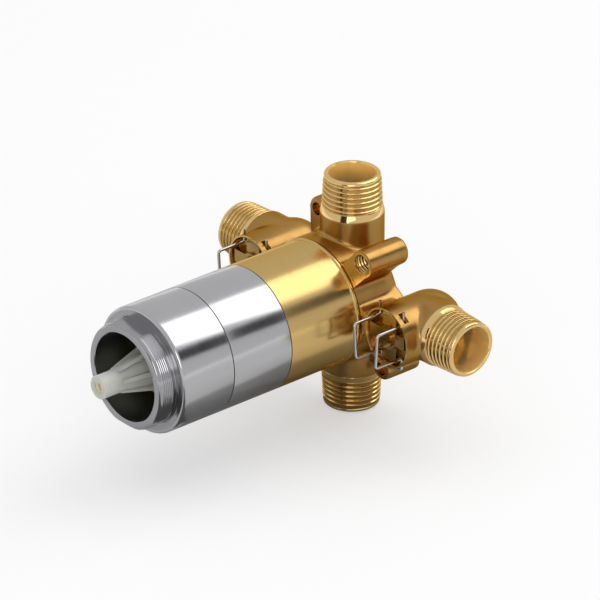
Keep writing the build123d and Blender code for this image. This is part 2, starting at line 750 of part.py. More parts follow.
with BuildPart() as mixing_shuttle:
    with BuildSketch(station(SHUTTLE_Y + SHUTTLE_LENGTH)):
        Circle(SHUTTLE_R)
        Circle(SHUTTLE_R - 1.6, mode=Mode.SUBTRACT)
        Rectangle(2 * SHUTTLE_R - 2, SPOKE)
        Rectangle(SPOKE, 2 * SHUTTLE_R - 2)
        Circle(HUB_R + 0.9)
    extrude(amount=SHUTTLE_LENGTH)
    with BuildSketch(Plane.XY):
        turned_ring(ELEMENT_R + SEAT, 0, SHUTTLE_Y - 1, SHUTTLE_Y + 0.25)
        turned_ring(ELEMENT_R - 2.2 + SEAT, 0, SHUTTLE_Y, SHUTTLE_Y + SHUTTLE_LENGTH + 1)
    revolve(axis=Axis.Y, mode=Mode.SUBTRACT)

with BuildPart() as return_spring:
    coil(0, RETURN_COIL_R, WIRE_R, SHUTTLE_Y + SHUTTLE_LENGTH, END_CUP_Y - 0.9 - STACK_TRAVEL, 3)

# Pieces of each inlet stop; the left side serves hot water and the right side cold
stop_pieces = {}
for side, hand in ((-1, "left"), (1, "right")):
    x = side * HOUSE_X
    stop_axis = Axis((x, 0, 0), (0, 1, 0))

    # Insert: seat, chamber, waist with windows, and the shaped front
    with BuildPart() as insert:
        with BuildSketch(Plane.XY):
            with BuildLine():
                Polyline(
                    (x, STOP_FACE_Y),
                    (x + STOP_R, STOP_FACE_Y),
                    (x + STOP_R, STOP_WAIST[0]),
                    (x + STOP_WAIST_R, STOP_WAIST[0]),
                    (x + STOP_WAIST_R, STOP_WAIST[1]),
                    (x + STOP_R, STOP_WAIST[1]),
                    (x + STOP_R, STOP_STEP_Y - SEAT),
                    (x, STOP_STEP_Y - SEAT),
                    close=True,
                )
            make_face()
        revolve(axis=stop_axis)
        with BuildSketch(station(STOP_FACE_Y)):
            with Locations((x, (BAR_TOP_Z + BAR_LOW_Z) / 2)):
                Rectangle(2 * BAR_X, BAR_TOP_Z - BAR_LOW_Z)
        extrude(amount=STOP_FACE_Y - BAR_Y)
        with BuildSketch(station(STOP_FACE_Y)):
            with Locations((x, 0)):
                Rectangle(2 * LUG_X, 2 * LUG_Z)
        extrude(amount=STOP_FACE_Y - LUG_Y)
        with BuildSketch(station(STOP_FACE_Y)):
            with Locations((x, 0)):
                Circle(BOSS_R)
        extrude(amount=STOP_FACE_Y - BAR_Y)
        with BuildSketch(Plane.XY):
            with BuildLine():
                Polyline(
                    (x, BAR_Y - 1),
                    (x + SCREW_R + SEAT, BAR_Y - 1),
                    (x + SCREW_R + SEAT, STOP_CHAMBER_Y),
                    (x + STOP_CHAMBER_R, STOP_CHAMBER_Y),
                    (x + STOP_CHAMBER_R, STOP_SEAT_Y),
                    (x + STOP_SEAT_R, STOP_SEAT_Y),
                    (x + STOP_SEAT_R, STOP_STEP_Y + 1),
                    (x, STOP_STEP_Y + 1),
                    close=True,
                )
            make_face()
            with BuildLine():
                Polyline(
                    (x + STOP_R - 2 * STOP_SEAL_R, STOP_SEAL_Y - STOP_SEAL_R - 0.05),
                    (x + STOP_R + 1, STOP_SEAL_Y - STOP_SEAL_R - 0.05),
                    (x + STOP_R + 1, STOP_SEAL_Y + STOP_SEAL_R + 0.05),
                    (x + STOP_R - 2 * STOP_SEAL_R, STOP_SEAL_Y + STOP_SEAL_R + 0.05),
                    close=True,
                )
            make_face()
        revolve(axis=stop_axis, mode=Mode.SUBTRACT)
        with BuildSketch(Plane.YZ.offset(x - STOP_R)):
            with Locations(((STOP_WAIST[0] + STOP_WAIST[1]) / 2, 0)):
                SlotOverall(STOP_WAIST[1] - STOP_WAIST[0] - 1, 3.6)
        extrude(amount=2 * STOP_R, mode=Mode.SUBTRACT)

    with BuildPart() as seal:
        with BuildSketch(Plane.XY):
            with Locations((x + STOP_R - STOP_SEAL_R, STOP_SEAL_Y)):
                Circle(STOP_SEAL_R - SEAT)
        revolve(axis=stop_axis)

    # Slotted screw, the plug that it drives, and the sprung check poppet
    with BuildPart() as screw:
        with BuildSketch(Plane.XY):
            with BuildLine():
                Polyline(
                    (x, SCREW_HEAD_Y - 0.8),
                    (x + SCREW_HEAD_R, SCREW_HEAD_Y - 0.8),
                    (x + SCREW_HEAD_R, BAR_Y - SEAT),
                    (x + SCREW_R, BAR_Y - SEAT),
                    (x + SCREW_R, SCREW_TIP_Y),
                    (x, SCREW_TIP_Y),
                    close=True,
                )
            make_face()
        revolve(axis=stop_axis)
        with BuildSketch(station(SCREW_HEAD_Y - 0.8)):
            with Locations((x, 0)):
                Rectangle(2 * SCREW_HEAD_R, SCREW_SLOT)
        extrude(amount=-0.9, mode=Mode.SUBTRACT)

    with BuildPart() as plug:
        with BuildSketch(Plane.XY):
            with BuildLine():
                Polyline(
                    (x + SCREW_R + SEAT, PLUG_Y),
                    (x + PLUG_R, PLUG_Y),
                    (x + PLUG_R, PLUG_Y + PLUG_DISC),
                    (x + PLUG_SLEEVE_R, PLUG_Y + PLUG_DISC),
                    (x + PLUG_SLEEVE_R, PLUG_SLEEVE_Y),
                    (x + SCREW_R + SEAT, PLUG_SLEEVE_Y),
                    close=True,
                )
            make_face()
        revolve(axis=stop_axis)

    with BuildPart() as poppet:
        with BuildSketch(Plane.XY):
            with BuildLine():
                poppet_y = STOP_SEAT_Y - POPPET_GAP - POPPET_DISC
                Polyline(
                    (x, POPPET_STEM_Y),
                    (x + POPPET_STEM_R, POPPET_STEM_Y),
                    (x + POPPET_STEM_R, poppet_y),
                    (x + POPPET_R, poppet_y),
                    (x + POPPET_R, poppet_y + POPPET_DISC),
                    (x + STOP_SEAT_R - 0.6, poppet_y + POPPET_DISC),
                    (x + STOP_SEAT_R - 1.6, poppet_y + POPPET_DISC + 1.4),
                    (x, poppet_y + POPPET_DISC + 1.4),
                    close=True,
                )
            make_face()
        revolve(axis=stop_axis)

    with BuildPart() as check_spring:
        coil(x, CHECK_COIL_R, CHECK_WIRE_R, poppet_y - 3.0, poppet_y, 3)

    # Wire clip: tip, finger loop, then under the housing to the other leg
    with BuildPart() as clip:
        half_wire = [
            (CLIP_TOP_X, CLIP_Y, CLIP_TIP_Z),
            (CLIP_TOP_X, CLIP_Y, CLIP_LOOP_Z),
            (CLIP_TOP_X, CLIP_LOOP_Y, CLIP_LOOP_Z),
            (CLIP_LOW_X, CLIP_LOOP_Y, CLIP_LOOP_LOW_Z),
            (CLIP_LOW_X, CLIP_Y, CLIP_LOOP_LOW_Z),
            (CLIP_LOW_X, CLIP_Y, 1 - CLIP_BASE_R),
            (CLIP_LOW_X / 2, CLIP_Y, -CLIP_BASE_R),
        ]
        with BuildLine() as wire:
            FilletPolyline(
                *[(x - px, py, pz) for px, py, pz in half_wire],
                *[(x + px, py, pz) for px, py, pz in reversed(half_wire)],
                radius=CLIP_BEND,
            )
        with BuildSketch(Plane(wire.line @ 0, z_dir=wire.line % 0)):
            RegularPolygon(CLIP_WIRE_R, 8)
        sweep(path=wire.line)

    stop_pieces["stop_insert_" + hand] = insert
    stop_pieces["stop_seal_" + hand] = seal
    stop_pieces["stop_screw_" + hand] = screw
    stop_pieces["stop_plug_" + hand] = plug
    stop_pieces["check_poppet_" + hand] = poppet
    stop_pieces["check_spring_" + hand] = check_spring
    stop_pieces["retaining_clip_" + hand] = clip

pieces = {
    "valve_body": valve_body,
    "body_collar": body_collar,
    "rear_sleeve": rear_sleeve,
    "front_sleeve": front_sleeve,
    "nose_ring": nose_ring,
    "cartridge_body": cartridge_body,
    "cartridge_end": cartridge_end,
    "cartridge_seals": cartridge_seals,
    "cartridge_nut": cartridge_nut,
    "control_spindle": control_spindle,
    "spindle_circlip": spindle_circlip,
    "handle_adapter": handle_adapter,
    "adapter_insert": adapter_insert,
    "pusher": pusher,
    "overtravel_spring": overtravel_spring,
    "element_pin": element_pin,
    "wax_element": wax_element,
    "mixing_shuttle": mixing_shuttle,
    "return_spring": return_spring,
} | stop_pieces

for name, piece in pieces.items():
    piece.part.label = name
    export_step(piece.part, f"parts/{name}.step")
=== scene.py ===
"""Concealed mixing valve: cast and turned brass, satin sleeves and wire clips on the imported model."""

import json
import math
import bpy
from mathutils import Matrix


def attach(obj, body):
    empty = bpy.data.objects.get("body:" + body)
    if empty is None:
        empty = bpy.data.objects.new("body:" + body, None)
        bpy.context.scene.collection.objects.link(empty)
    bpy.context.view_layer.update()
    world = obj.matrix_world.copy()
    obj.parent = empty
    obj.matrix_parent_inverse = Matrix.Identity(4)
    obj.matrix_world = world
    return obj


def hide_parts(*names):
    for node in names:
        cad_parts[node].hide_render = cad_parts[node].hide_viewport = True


bl_info = {
    "name": "Concealed Mixing Valve",
    "version": (1, 0, 0),
    "blender": (4, 5, 0),
    "location": "View3D > Sidebar > Valve",
    "description": "Builds the valve's finished pieces, materials, lights and camera around its packed model",
    "category": "Object",
}

import bmesh
import bpy
import numpy as np
from mathutils import Matrix, Vector

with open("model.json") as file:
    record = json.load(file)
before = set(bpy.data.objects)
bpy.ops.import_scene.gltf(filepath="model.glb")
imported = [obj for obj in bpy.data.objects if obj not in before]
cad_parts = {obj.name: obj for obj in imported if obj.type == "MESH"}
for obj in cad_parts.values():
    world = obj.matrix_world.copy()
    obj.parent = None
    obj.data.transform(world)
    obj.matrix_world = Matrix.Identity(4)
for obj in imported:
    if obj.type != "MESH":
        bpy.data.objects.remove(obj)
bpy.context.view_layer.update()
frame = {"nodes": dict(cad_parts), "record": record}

MM = 0.001

# Stations along the barrel, in millimetres, as the solids have them
NOSE_Y = -103.3
SHOULDER_Y = -95.5
SEAM_Y = -73.2
NOSE_TAIL_Y = -66.0
COLLAR_SPIGOT_Y = -62.0
CHROME_Y = -47.3
SPIGOT_Y = -44.0
COLLAR_Y = -16.9
BODY_FRONT_Y = -16.4
BODY_REAR_Y = 6.0

# Radii, floors and bevel along the barrel, and half the gap that shows between two sleeves
SLEEVE_R = 23.0
SLEEVE_BORE_R = 20.5
BARREL_R = 23.5
BARREL_BORE_R = 16.5
BARREL_ROUND_R = 9.0
BARREL_FLOOR_Y = 0.5
BARREL_SUMP_R = 11.5
BARREL_SUMP_Y = 2.6
SPIGOT_R = 19.2
SPIGOT_FOOT_R = 21.0
COLLAR_BORE_R = 17.2
COLLAR_SPIGOT_R = 20.45
FRONT_BEVEL = 1.1
SEAM = 0.16

# Nose ring with its thread, the ridge behind it and the recess in the front sleeve
NOSE_BORE_R = 16.15
NOSE_THREAD_R = 19.4
NOSE_THREAD_Y = -97.1
NOSE_THREAD_DEPTH = 0.21
NOSE_LIP = 1.35
NOSE_FLAT_Z = 17.9
NOSE_RIDGE_R = 19.9
NOSE_RIDGE_Y = -96.6
RECESS_R = 21.6
RECESS = 1.6

# Pipe ports
PORT_BORE_R = 8.4
PORT_LEAD = 1.5
LAND_R = 11.6
LAND_LENGTH = 2.5
THREAD_LENGTH = 12.2
NECK_R = 11.4
TOP_TIP_Z = 45.6
BOTTOM_TIP_Z = 44.7
SIDE_TIP_X = 62.6
SIDE_PORT_Y = 0.5

# Stop housings, their bores and the inlets behind them
HOUSE_X = 36.6
HOUSE_R = 11.25
HOUSE_BORE_R = 10.3
HOUSE_FRONT_Y = -16.3
HOUSE_DOME_Y = 4.2
HOUSE_FLOOR_R = 7.6
HOUSE_FLOOR_Y = 9.0
STOP_STEP_Y = 2.2
INLET_FLOOR_X = 50.5
INLET_HOLE_R = 3.4
INLET_HOLE_Y = 5.4
PASSAGE_R = 2.2
PASSAGE_Y = {-1: -8.0, 1: -4.0}

# Cross arm between the housings, with the fillets in its corners
ARM_Y = -8.0
ARM_HALF_Y = 7.0
ARM_HALF_Z = 6.2
ARM_ROUND_R = 2.5
FILLET_X = 24.85
FILLET_Z = 9.2
FILLET_R = 3.0

# Guard bosses with tapped holes, and fixing bosses with plain ones
GUARD_XZ = 24.0
GUARD_R = 5.0
GUARD_HOLE_R = 3.3
GUARD_DEPTH = 11.0
GUARD_REAR_Y = 1.4
GUARD_WEB = 4.6
TAP_R = GUARD_HOLE_R + 0.38
TAP_START = 0.5
TAP_DEPTH = 0.45
TAP_PITCH = 1.25
FIX_X = 17.2
FIX_Z = 25.0
FIX_R = 4.3
FIX_HOLE_R = 2.4
FIX_FRONT_Y = -1.5
FIX_REAR_Y = 13.8
FIX_WEB_Z = 8

# Wire clips and their slots
CLIP_Y = -13.5
CLIP_WIRE_R = 0.55
CLIP_BASE_R = 12.1
CLIP_BEND = 1.1
CLIP_LOOP_Y = -25.5
CLIP_LOOP_Z = 6.4
CLIP_HIGH_X = 6.0
CLIP_LOW_X = 5.1
CLIP_LOW_Z = -6.7
SLOT_X = (4.2, 7.8)
SLOT_HALF_Y = 1.05

# Handle adapter and the bush in its tip
ADAPTER_TIP_Y = -114.8
ADAPTER_TIP_R = 4.25
ADAPTER_SHANK = 8.0
ADAPTER_CONE_Y = -90.0
ADAPTER_CONE_R = 7.0
ADAPTER_FLANGE_R = 10.6
ADAPTER_RIBS = 6
BUSH_R = 2.6
BUSH_BORE_R = 1.55

# Camera as fitted to the photograph: turn, height, focal length in pixels and place in its own axes
CAMERA_TURN = 49.41
CAMERA_HEIGHT = 27.35
CAMERA_FOCAL = 6244.81
CAMERA_FRAME = 600
CAMERA_PLACE = (-18.26, -4.32, 2196.69)
SENSOR = 36.0

# Metal that the casting has in front of its faces until they are cut
STOCK = 2.0

SIDES = (("left", -1), ("right", 1))
Y_AXIS = (0, 1, 0)

# Turn that lays a prism's height along Y
LAID = Matrix.Rotation(-math.pi / 2, 4, "X")


# Mesh helpers

def along(direction, centre=(0, 0, 0)):
    """Matrix that takes a profile's own axis to a direction through a point in millimetres."""
    turn = Vector((0, 0, 1)).rotation_difference(Vector(direction)).to_matrix().to_4x4()
    return Matrix.Translation(Vector(centre)) @ turn


def softened(profile, radius, steps=3):
    """Rounds the corners of a closed outline of (radius, height) pairs."""
    points = [Vector(p) for p in profile]
    out = []
    for i, corner in enumerate(points):
        before, after = points[i - 1] - corner, points[(i + 1) % len(points)] - corner
        reach = min(radius, 0.45 * before.length, 0.45 * after.length)
        straight = abs(before.normalized().dot(after.normalized())) > 0.98
        if corner.x < 1e-6 or reach < 1e-4 or straight:
            out.append(tuple(corner))
            continue
        start, end = corner + before.normalized() * reach, corner + after.normalized() * reach
        for k in range(steps + 1):
            t = k / steps
            out.append(tuple((1 - t) ** 2 * start + 2 * t * (1 - t) * corner + t * t * end))
    return out


def turned(bm, profile, place, segments=160, closed=True):
    """Adds a turned surface from (radius, height) pairs in millimetres."""
    rings = []
    for radius, height in profile:
        if radius < 1e-6:
            rings.append([bm.verts.new(place @ Vector((0, 0, height)) * MM)])
            continue
        ring = []
        for k in range(segments):
            angle = 2 * math.pi * k / segments
            point = Vector((radius * math.cos(angle), radius * math.sin(angle), height))
            ring.append(bm.verts.new(place @ point * MM))
        rings.append(ring)
    pairs = list(zip(rings, rings[1:] + rings[:1])) if closed else list(zip(rings, rings[1:]))
    for lower, upper in pairs:
        if len(lower) == 1 and len(upper) == 1:
            continue
        for k in range(segments):
            nxt = (k + 1) % segments
            loop = [lower[k % len(lower)], lower[nxt % len(lower)],
                    upper[nxt % len(upper)], upper[k % len(upper)]]
            bm.faces.new(list(dict.fromkeys(loop)))


def prism(bm, outline, place, low, high):
    """Adds a closed prism over an outline of (x, y) pairs in millimetres."""
    base = [bm.verts.new(place @ Vector((x, y, low)) * MM) for x, y in outline]
    top = [bm.verts.new(place @ Vector((x, y, high)) * MM) for x, y in outline]
    bm.faces.new(base)
    bm.faces.new(top)
    for k in range(len(outline)):
        nxt = (k + 1) % len(outline)
        bm.faces.new((base[k], base[nxt], top[nxt], top[k]))


def arc(centre_x, centre_y, radius, start, sweep, steps=12):
    """Points on a circle from one angle through a sweep, both in radians."""
    points = []
    for k in range(steps + 1):
        angle = start + sweep * k / steps
        points.append((centre_x + radius * math.cos(angle), centre_y + radius * math.sin(angle)))
    return points


def rounded_box(half_x, half_y, radius, steps=5):
    """Outline of a rectangle with round corners."""
    out = []
    for quarter, (sx, sy) in enumerate(((1, 1), (-1, 1), (-1, -1), (1, -1))):
        for k in range(steps + 1):
            angle = math.pi / 2 * (quarter + k / steps)
            out.append((sx * (half_x - radius) + radius * math.cos(angle),
                        sy * (half_y - radius) + radius * math.sin(angle)))
    return out


def paint(bm, slot, chosen=lambda face: True):
    """Gives the chosen faces a material slot."""
    for face in bm.faces:
        if chosen(face):
            face.material_index = slot


def placed(name, data):
    """A linked object that holds the data."""
    made = bpy.data.objects.new(name, data)
    bpy.context.scene.collection.objects.link(made)
    return made


def finished(bm, name, materials, sharp=35):
    """Turns a bmesh into an object with outward faces and smooth shading between sharp edges."""
    bmesh.ops.recalc_face_normals(bm, faces=bm.faces)
    mesh = bpy.data.meshes.new(name)
    bm.to_mesh(mesh)
    bm.free()
    for surface in materials:
        mesh.materials.append(surface)
    mesh.shade_smooth()
    mesh.set_sharp_from_angle(angle=math.radians(sharp))
    return placed(name, mesh)


def baked(piece):
    """Applies a piece's modifiers by taking its evaluated mesh."""
    bpy.context.view_layer.update()
    mesh = bpy.data.meshes.new_from_object(piece.evaluated_get(bpy.context.evaluated_depsgraph_get()))
    label = piece.name
    bpy.data.objects.remove(piece)
    mesh.name = label
    return placed(label, mesh)


def break_edges(piece, width, sharp):
    """Puts a bevel, in millimetres, on every edge sharper than an angle in degrees."""
    edge = piece.modifiers.new("edge", "BEVEL")
    edge.width = width * MM
    edge.segments = 2
    edge.limit_method = "ANGLE"
    edge.angle_limit = math.radians(sharp)
    return edge


def joined(pieces, name):
    """One mesh from several finished pieces with the same materials, their touching edges closed."""
    bm = bmesh.new()
    materials = list(pieces[0].data.materials)
    for piece in pieces:
        bm.from_mesh(piece.data)
        bpy.data.objects.remove(piece)
    rims = [vert for vert in bm.verts if vert.is_boundary]
    bmesh.ops.remove_doubles(bm, verts=rims, dist=0.005 * MM)
    bmesh.ops.recalc_face_normals(bm, faces=bm.faces)
    if any(edge.is_boundary for edge in bm.edges):
        raise RuntimeError(f"{name} has an open rim")
    mesh = bpy.data.meshes.new(name)
    bm.to_mesh(mesh)
    bm.free()
    for surface in materials:
        mesh.materials.append(surface)
    return placed(name, mesh)


def settle(piece, body, slot, *nodes):
    """Hands a finished piece to its body and hides the nodes that it stands for."""
    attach(piece, body)
    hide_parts(*nodes)


# Materials

class Builder:
    """A node tree under construction."""
    prefix = ""

    def add(self, kind, values=None, **settings):
        """A new node with its settings made, and its inputs set or linked."""
        made = self.tree.nodes.new(self.prefix + kind)
        for key, value in settings.items():
            setattr(made, key, value)
        for key, value in (values or {}).items():
            if isinstance(value, bpy.types.NodeSocket):
                self.tree.links.new(value, made.inputs[key])
            else:
                made.inputs[key].default_value = value
        return made


class Shader(Builder):
    """A material under construction."""
    prefix = "ShaderNode"

    def __init__(self, name):
        self.material = bpy.data.materials.new(name)
        self.material.use_nodes = True
        self.tree = self.material.node_tree
        self.tree.nodes.clear()
        self.out = self.tree.nodes.new("ShaderNodeOutputMaterial")
        self.surface = self.tree.nodes.new("ShaderNodeBsdfPrincipled")
        self.tree.links.new(self.surface.outputs[0], self.out.inputs[0])
        self.place = self.tree.nodes.new("ShaderNodeTexCoord").outputs["Object"]

    def noise(self, scale, stretch=(1, 1, 1), detail=4.0, rough=0.55):
        mapped = self.add("Mapping", {"Vector": self.place, "Scale": stretch})
        return self.add("TexNoise", {"Vector": mapped.outputs[0], "Scale": scale, "Detail": detail,
                                     "Roughness": rough}).outputs["Fac"]

    def span(self, value, low, high, start=0.3, end=0.7):
        return self.add("MapRange", {"Value": value, "From Min": start, "From Max": end, "To Min": low,
                                     "To Max": high}).outputs[0]

    def mix(self, value, one, two):
        ramp = self.add("ValToRGB", {"Fac": value})
        ramp.color_ramp.elements[0].position = 0.3
        ramp.color_ramp.elements[0].color = (*one, 1)
        ramp.color_ramp.elements[1].position = 0.7
        ramp.color_ramp.elements[1].color = (*two, 1)
        return ramp.outputs[0]

    def bump(self, height, strength, distance):
        made = self.add("Bump", {"Height": height, "Strength": strength, "Distance": distance})
        self.link(made.outputs[0], "Normal")

    def link(self, value, key):
        self.tree.links.new(value, self.surface.inputs[key])

    def set(self, **values):
        for key, value in values.items():
            self.surface.inputs[key.replace("_", " ").title().replace("Ior", "IOR")].default_value = value


def cast_brass(name, tone, deep):
    """Brass as cast and tumbled: fine grain, faint mottling and uneven gloss."""
    look = Shader(name)
    look.set(metallic=1.0)
    look.surface.inputs["Specular Tint"].default_value = (0.75, 0.54, 0.28, 1)
    look.link(look.mix(look.noise(70, detail=5), deep, tone), "Base Color")
    look.link(look.span(look.noise(160, detail=3), 0.25, 0.35), "Roughness")
    look.bump(look.noise(1500, detail=2), 0.05, 0.0003)
    return look.material


def turned_metal(name, tone, deep, low, high, lines=2600, edge=(1, 1, 1)):
    """Metal off a lathe: fine rings across its axis, in its gloss and its relief."""
    look = Shader(name)
    look.set(metallic=1.0)
    look.surface.inputs["Specular Tint"].default_value = (*edge, 1)
    rings = look.noise(lines, stretch=(0.01, 1, 0.01), detail=3, rough=0.6)
    look.link(look.mix(look.noise(55, detail=3), deep, tone), "Base Color")
    look.link(look.span(rings, low, high), "Roughness")
    look.bump(rings, 0.012, 0.0002)
    return look.material


def bright_metal(name, tone, deep, low, high, scale=300, relief=0.012, edge=(1, 1, 1), metallic=1.0):
    """Polished metal with faint wear."""
    look = Shader(name)
    look.set(metallic=metallic)
    look.surface.inputs["Specular Tint"].default_value = (*edge, 1)
    look.link(look.mix(look.noise(scale * 0.4, detail=4), deep, tone), "Base Color")
    look.link(look.span(look.noise(scale, detail=4), low, high), "Roughness")
    look.bump(look.noise(scale * 5, detail=2), relief, 0.0002)
    return look.material


def moulded(name, tone, deep, rough, glow=0.0, clear=0.0):
    """Moulded plastic or rubber with a faint moulded skin; glow lets light into it."""
    look = Shader(name)
    look.set(roughness=rough, transmission_weight=clear)
    if glow:
        look.set(subsurface_weight=glow, subsurface_scale=0.004)
        look.surface.inputs["Subsurface Radius"].default_value = (1.0, 0.95, 0.8)
    look.link(look.mix(look.noise(240, detail=3), deep, tone), "Base Color")
    look.bump(look.noise(1800, detail=2), 0.08, 0.0002)
    return look.material


def rgb(values):
    return tuple(values)[:3]


# Sizes and colours that a user would change

COLOUR = {"subtype": "COLOR", "size": 3, "min": 0, "max": 1}
LENGTH = {"subtype": "DISTANCE", "unit": "LENGTH"}


class ValveFinish(bpy.types.PropertyGroup):
    brass: bpy.props.FloatVectorProperty(
        name="Cast brass", description="Tone of the casting", default=(0.56, 0.328, 0.106), **COLOUR)
    brass_deep: bpy.props.FloatVectorProperty(
        name="Cast brass, deep", description="Darker mottling of the casting",
        default=(0.45, 0.25, 0.07), **COLOUR)
    turned_brass: bpy.props.FloatVectorProperty(
        name="Turned brass", description="Tone of machined brass", default=(0.80, 0.545, 0.215), **COLOUR)
    chrome: bpy.props.FloatVectorProperty(
        name="Sleeves", description="Tone of the satin sleeves", default=(0.62, 0.62, 0.635), **COLOUR)
    steel: bpy.props.FloatVectorProperty(
        name="Steel", description="Tone of clips and springs", default=(0.70, 0.69, 0.66), **COLOUR)
    nylon: bpy.props.FloatVectorProperty(
        name="Nylon", description="Tone of the handle adapter", default=(0.89, 0.90, 0.82), **COLOUR)


class ValveSizes(bpy.types.PropertyGroup):
    pitch: bpy.props.FloatProperty(
        name="Port pitch", description="Distance between the ridges of the pipe threads",
        default=1.814 * MM, min=0.001, max=0.003, **LENGTH)
    root: bpy.props.FloatProperty(
        name="Port root radius", description="Thread's root radius at the tip",
        default=9.85 * MM, min=0.009, max=0.0105, **LENGTH)
    depth: bpy.props.FloatProperty(
        name="Port thread depth", description="Height of the ridges over the root",
        default=0.42 * MM, min=0.0001, max=0.0015, **LENGTH)
    taper: bpy.props.FloatProperty(
        name="Port taper", description="Growth of the radius from the tip to the land",
        default=0.5 * MM, min=0.0, max=0.002, **LENGTH)
    nose_pitch: bpy.props.FloatProperty(
        name="Nose pitch", description="Distance between the nose thread's ridges",
        default=0.8 * MM, min=0.0004, max=0.002, **LENGTH)
    voxel: bpy.props.FloatProperty(
        name="Casting grid", description="Grid on which the casting's skin is made",
        default=0.5 * MM, min=0.0003, max=0.001, **LENGTH)
    rounding: bpy.props.IntProperty(
        name="Cast rounding", description="Smoothing passes over the casting's edges",
        default=8, min=0, max=60)


def finish():
    return bpy.context.scene.valve_finish


def sizes():
    return bpy.context.scene.valve_sizes


MADE = {}

# Tint of brass seen at a glancing angle
GOLD = (0.90, 0.76, 0.50)

# What makes each material from the finish's colours
LOOKS = {
    "casting": lambda tone: cast_brass("cast_brass", rgb(tone.brass), rgb(tone.brass_deep)),
    "collar": lambda tone: turned_metal(
        "turned_brass_collar", rgb(tone.turned_brass), (0.74, 0.51, 0.19), 0.19, 0.23, edge=GOLD),
    "machined": lambda tone: bright_metal(
        "machined_brass", rgb(tone.turned_brass), (0.72, 0.49, 0.18), 0.13, 0.20, edge=GOLD),
    # Painted light: the port threads take a paler, brighter copy of the machined brass so that their crests
    # look lit
    "thread": lambda tone: bright_metal(
        "thread_brass_painted_light", (1.0, 0.72, 0.33), (0.95, 0.65, 0.27), 0.08, 0.12, edge=(1.0, 0.85, 0.56)),
    # Painted shade: the roots between the thread's ridges take a darker copy of the brass
    "thread_root_painted_shade": lambda tone: bright_metal(
        "root_brass_painted_shade", (0.62, 0.385, 0.115), (0.54, 0.32, 0.085), 0.11, 0.16, edge=GOLD),
    # Painted light: the port bores take a pale, bright brass so that their insides look lit
    "bore": lambda tone: bright_metal(
        "bored_brass_painted_light", (1.0, 0.77, 0.33), (1.0, 0.74, 0.29), 0.16, 0.19, scale=80, relief=0.0,
        edge=(1, 0.88, 0.58), metallic=0.6),
    # Painted light: the bush in the adapter's tip takes a pale, near white brass so that its hole looks lit
    "bush": lambda tone: bright_metal(
        "bush_brass_painted_light", (1.0, 0.90, 0.60), (0.98, 0.87, 0.55), 0.30, 0.36, edge=GOLD, metallic=0.25),
    "insert": lambda tone: bright_metal(
        "stop_brass", (0.52, 0.345, 0.14), (0.38, 0.235, 0.085), 0.14, 0.22, scale=120, edge=GOLD),
    "sleeve": lambda tone: turned_metal("satin_chrome", rgb(tone.chrome), (0.60, 0.60, 0.615), 0.16, 0.20),
    # Painted shade: the nose ring takes a darker copy of the sleeves' satin chrome
    "nose": lambda tone: turned_metal(
        "nose_chrome_painted_shade", (0.50, 0.50, 0.515), (0.44, 0.44, 0.455), 0.12, 0.18, lines=2000),
    # Painted shade: the inside of the nose ring takes a dark grey in place of its chrome
    "nose_bore_painted_shade": lambda tone: turned_metal(
        "nose_bore_painted_shade", (0.27, 0.275, 0.25), (0.20, 0.205, 0.185), 0.30, 0.42, lines=600),
    "steel": lambda tone: bright_metal("spring_steel", rgb(tone.steel), (0.60, 0.59, 0.57), 0.12, 0.22),
    "nylon": lambda tone: moulded(
        "moulded_nylon", rgb(tone.nylon), (0.84, 0.85, 0.76), 0.22, glow=0.6, clear=0.4),
    "inner_nylon": lambda tone: moulded(
        "moulded_acetal", (0.72, 0.72, 0.68), (0.66, 0.66, 0.62), 0.42, glow=0.2),
    "rubber": lambda tone: moulded("seal_rubber", (0.028, 0.028, 0.03), (0.018, 0.018, 0.02), 0.55),
}


def material(key):
    """Makes each material once."""
    if key not in MADE:
        MADE[key] = LOOKS[key](finish())
    return MADE[key]


# Helical thread, made with Geometry Nodes

class Nodes(Builder):
    """A Geometry Nodes tree under construction."""

    def __init__(self, name, inputs):
        self.tree = bpy.data.node_groups.new(name, "GeometryNodeTree")
        self.sockets = {}
        self.tree.interface.new_socket("Geometry", in_out="INPUT", socket_type="NodeSocketGeometry")
        for label, kind, value in inputs:
            socket = self.tree.interface.new_socket(label, in_out="INPUT", socket_type="NodeSocket" + kind)
            if value is not None:
                socket.default_value = value
            self.sockets[label] = socket.identifier
        self.tree.interface.new_socket("Geometry", in_out="OUTPUT", socket_type="NodeSocketGeometry")
        self.given = self.tree.nodes.new("NodeGroupInput")
        self.out = self.tree.nodes.new("NodeGroupOutput")

    def math(self, operation, one, two=0.0, three=0.0, clamp=False):
        made = self.add("ShaderNodeMath", {0: one, 1: two, 2: three}, operation=operation, use_clamp=clamp)
        return made.outputs[0]

    def close(self, geometry, surface):
        """Ends the tree in Realize Instances and Set Material."""
        real = self.add("GeometryNodeRealizeInstances", {"Geometry": geometry})
        painted = self.add("GeometryNodeSetMaterial", {"Geometry": real.outputs[0], "Material": surface})
        self.tree.links.new(painted.outputs[0], self.out.inputs[0])

    def run(self, piece, values):
        """Puts the tree on a piece with its inputs set, and returns the plain result."""
        modifier = piece.modifiers.new(self.tree.name, "NODES")
        modifier.node_group = self.tree
        for label, value in values.items():
            modifier[self.sockets[label]] = value
        return baked(piece)


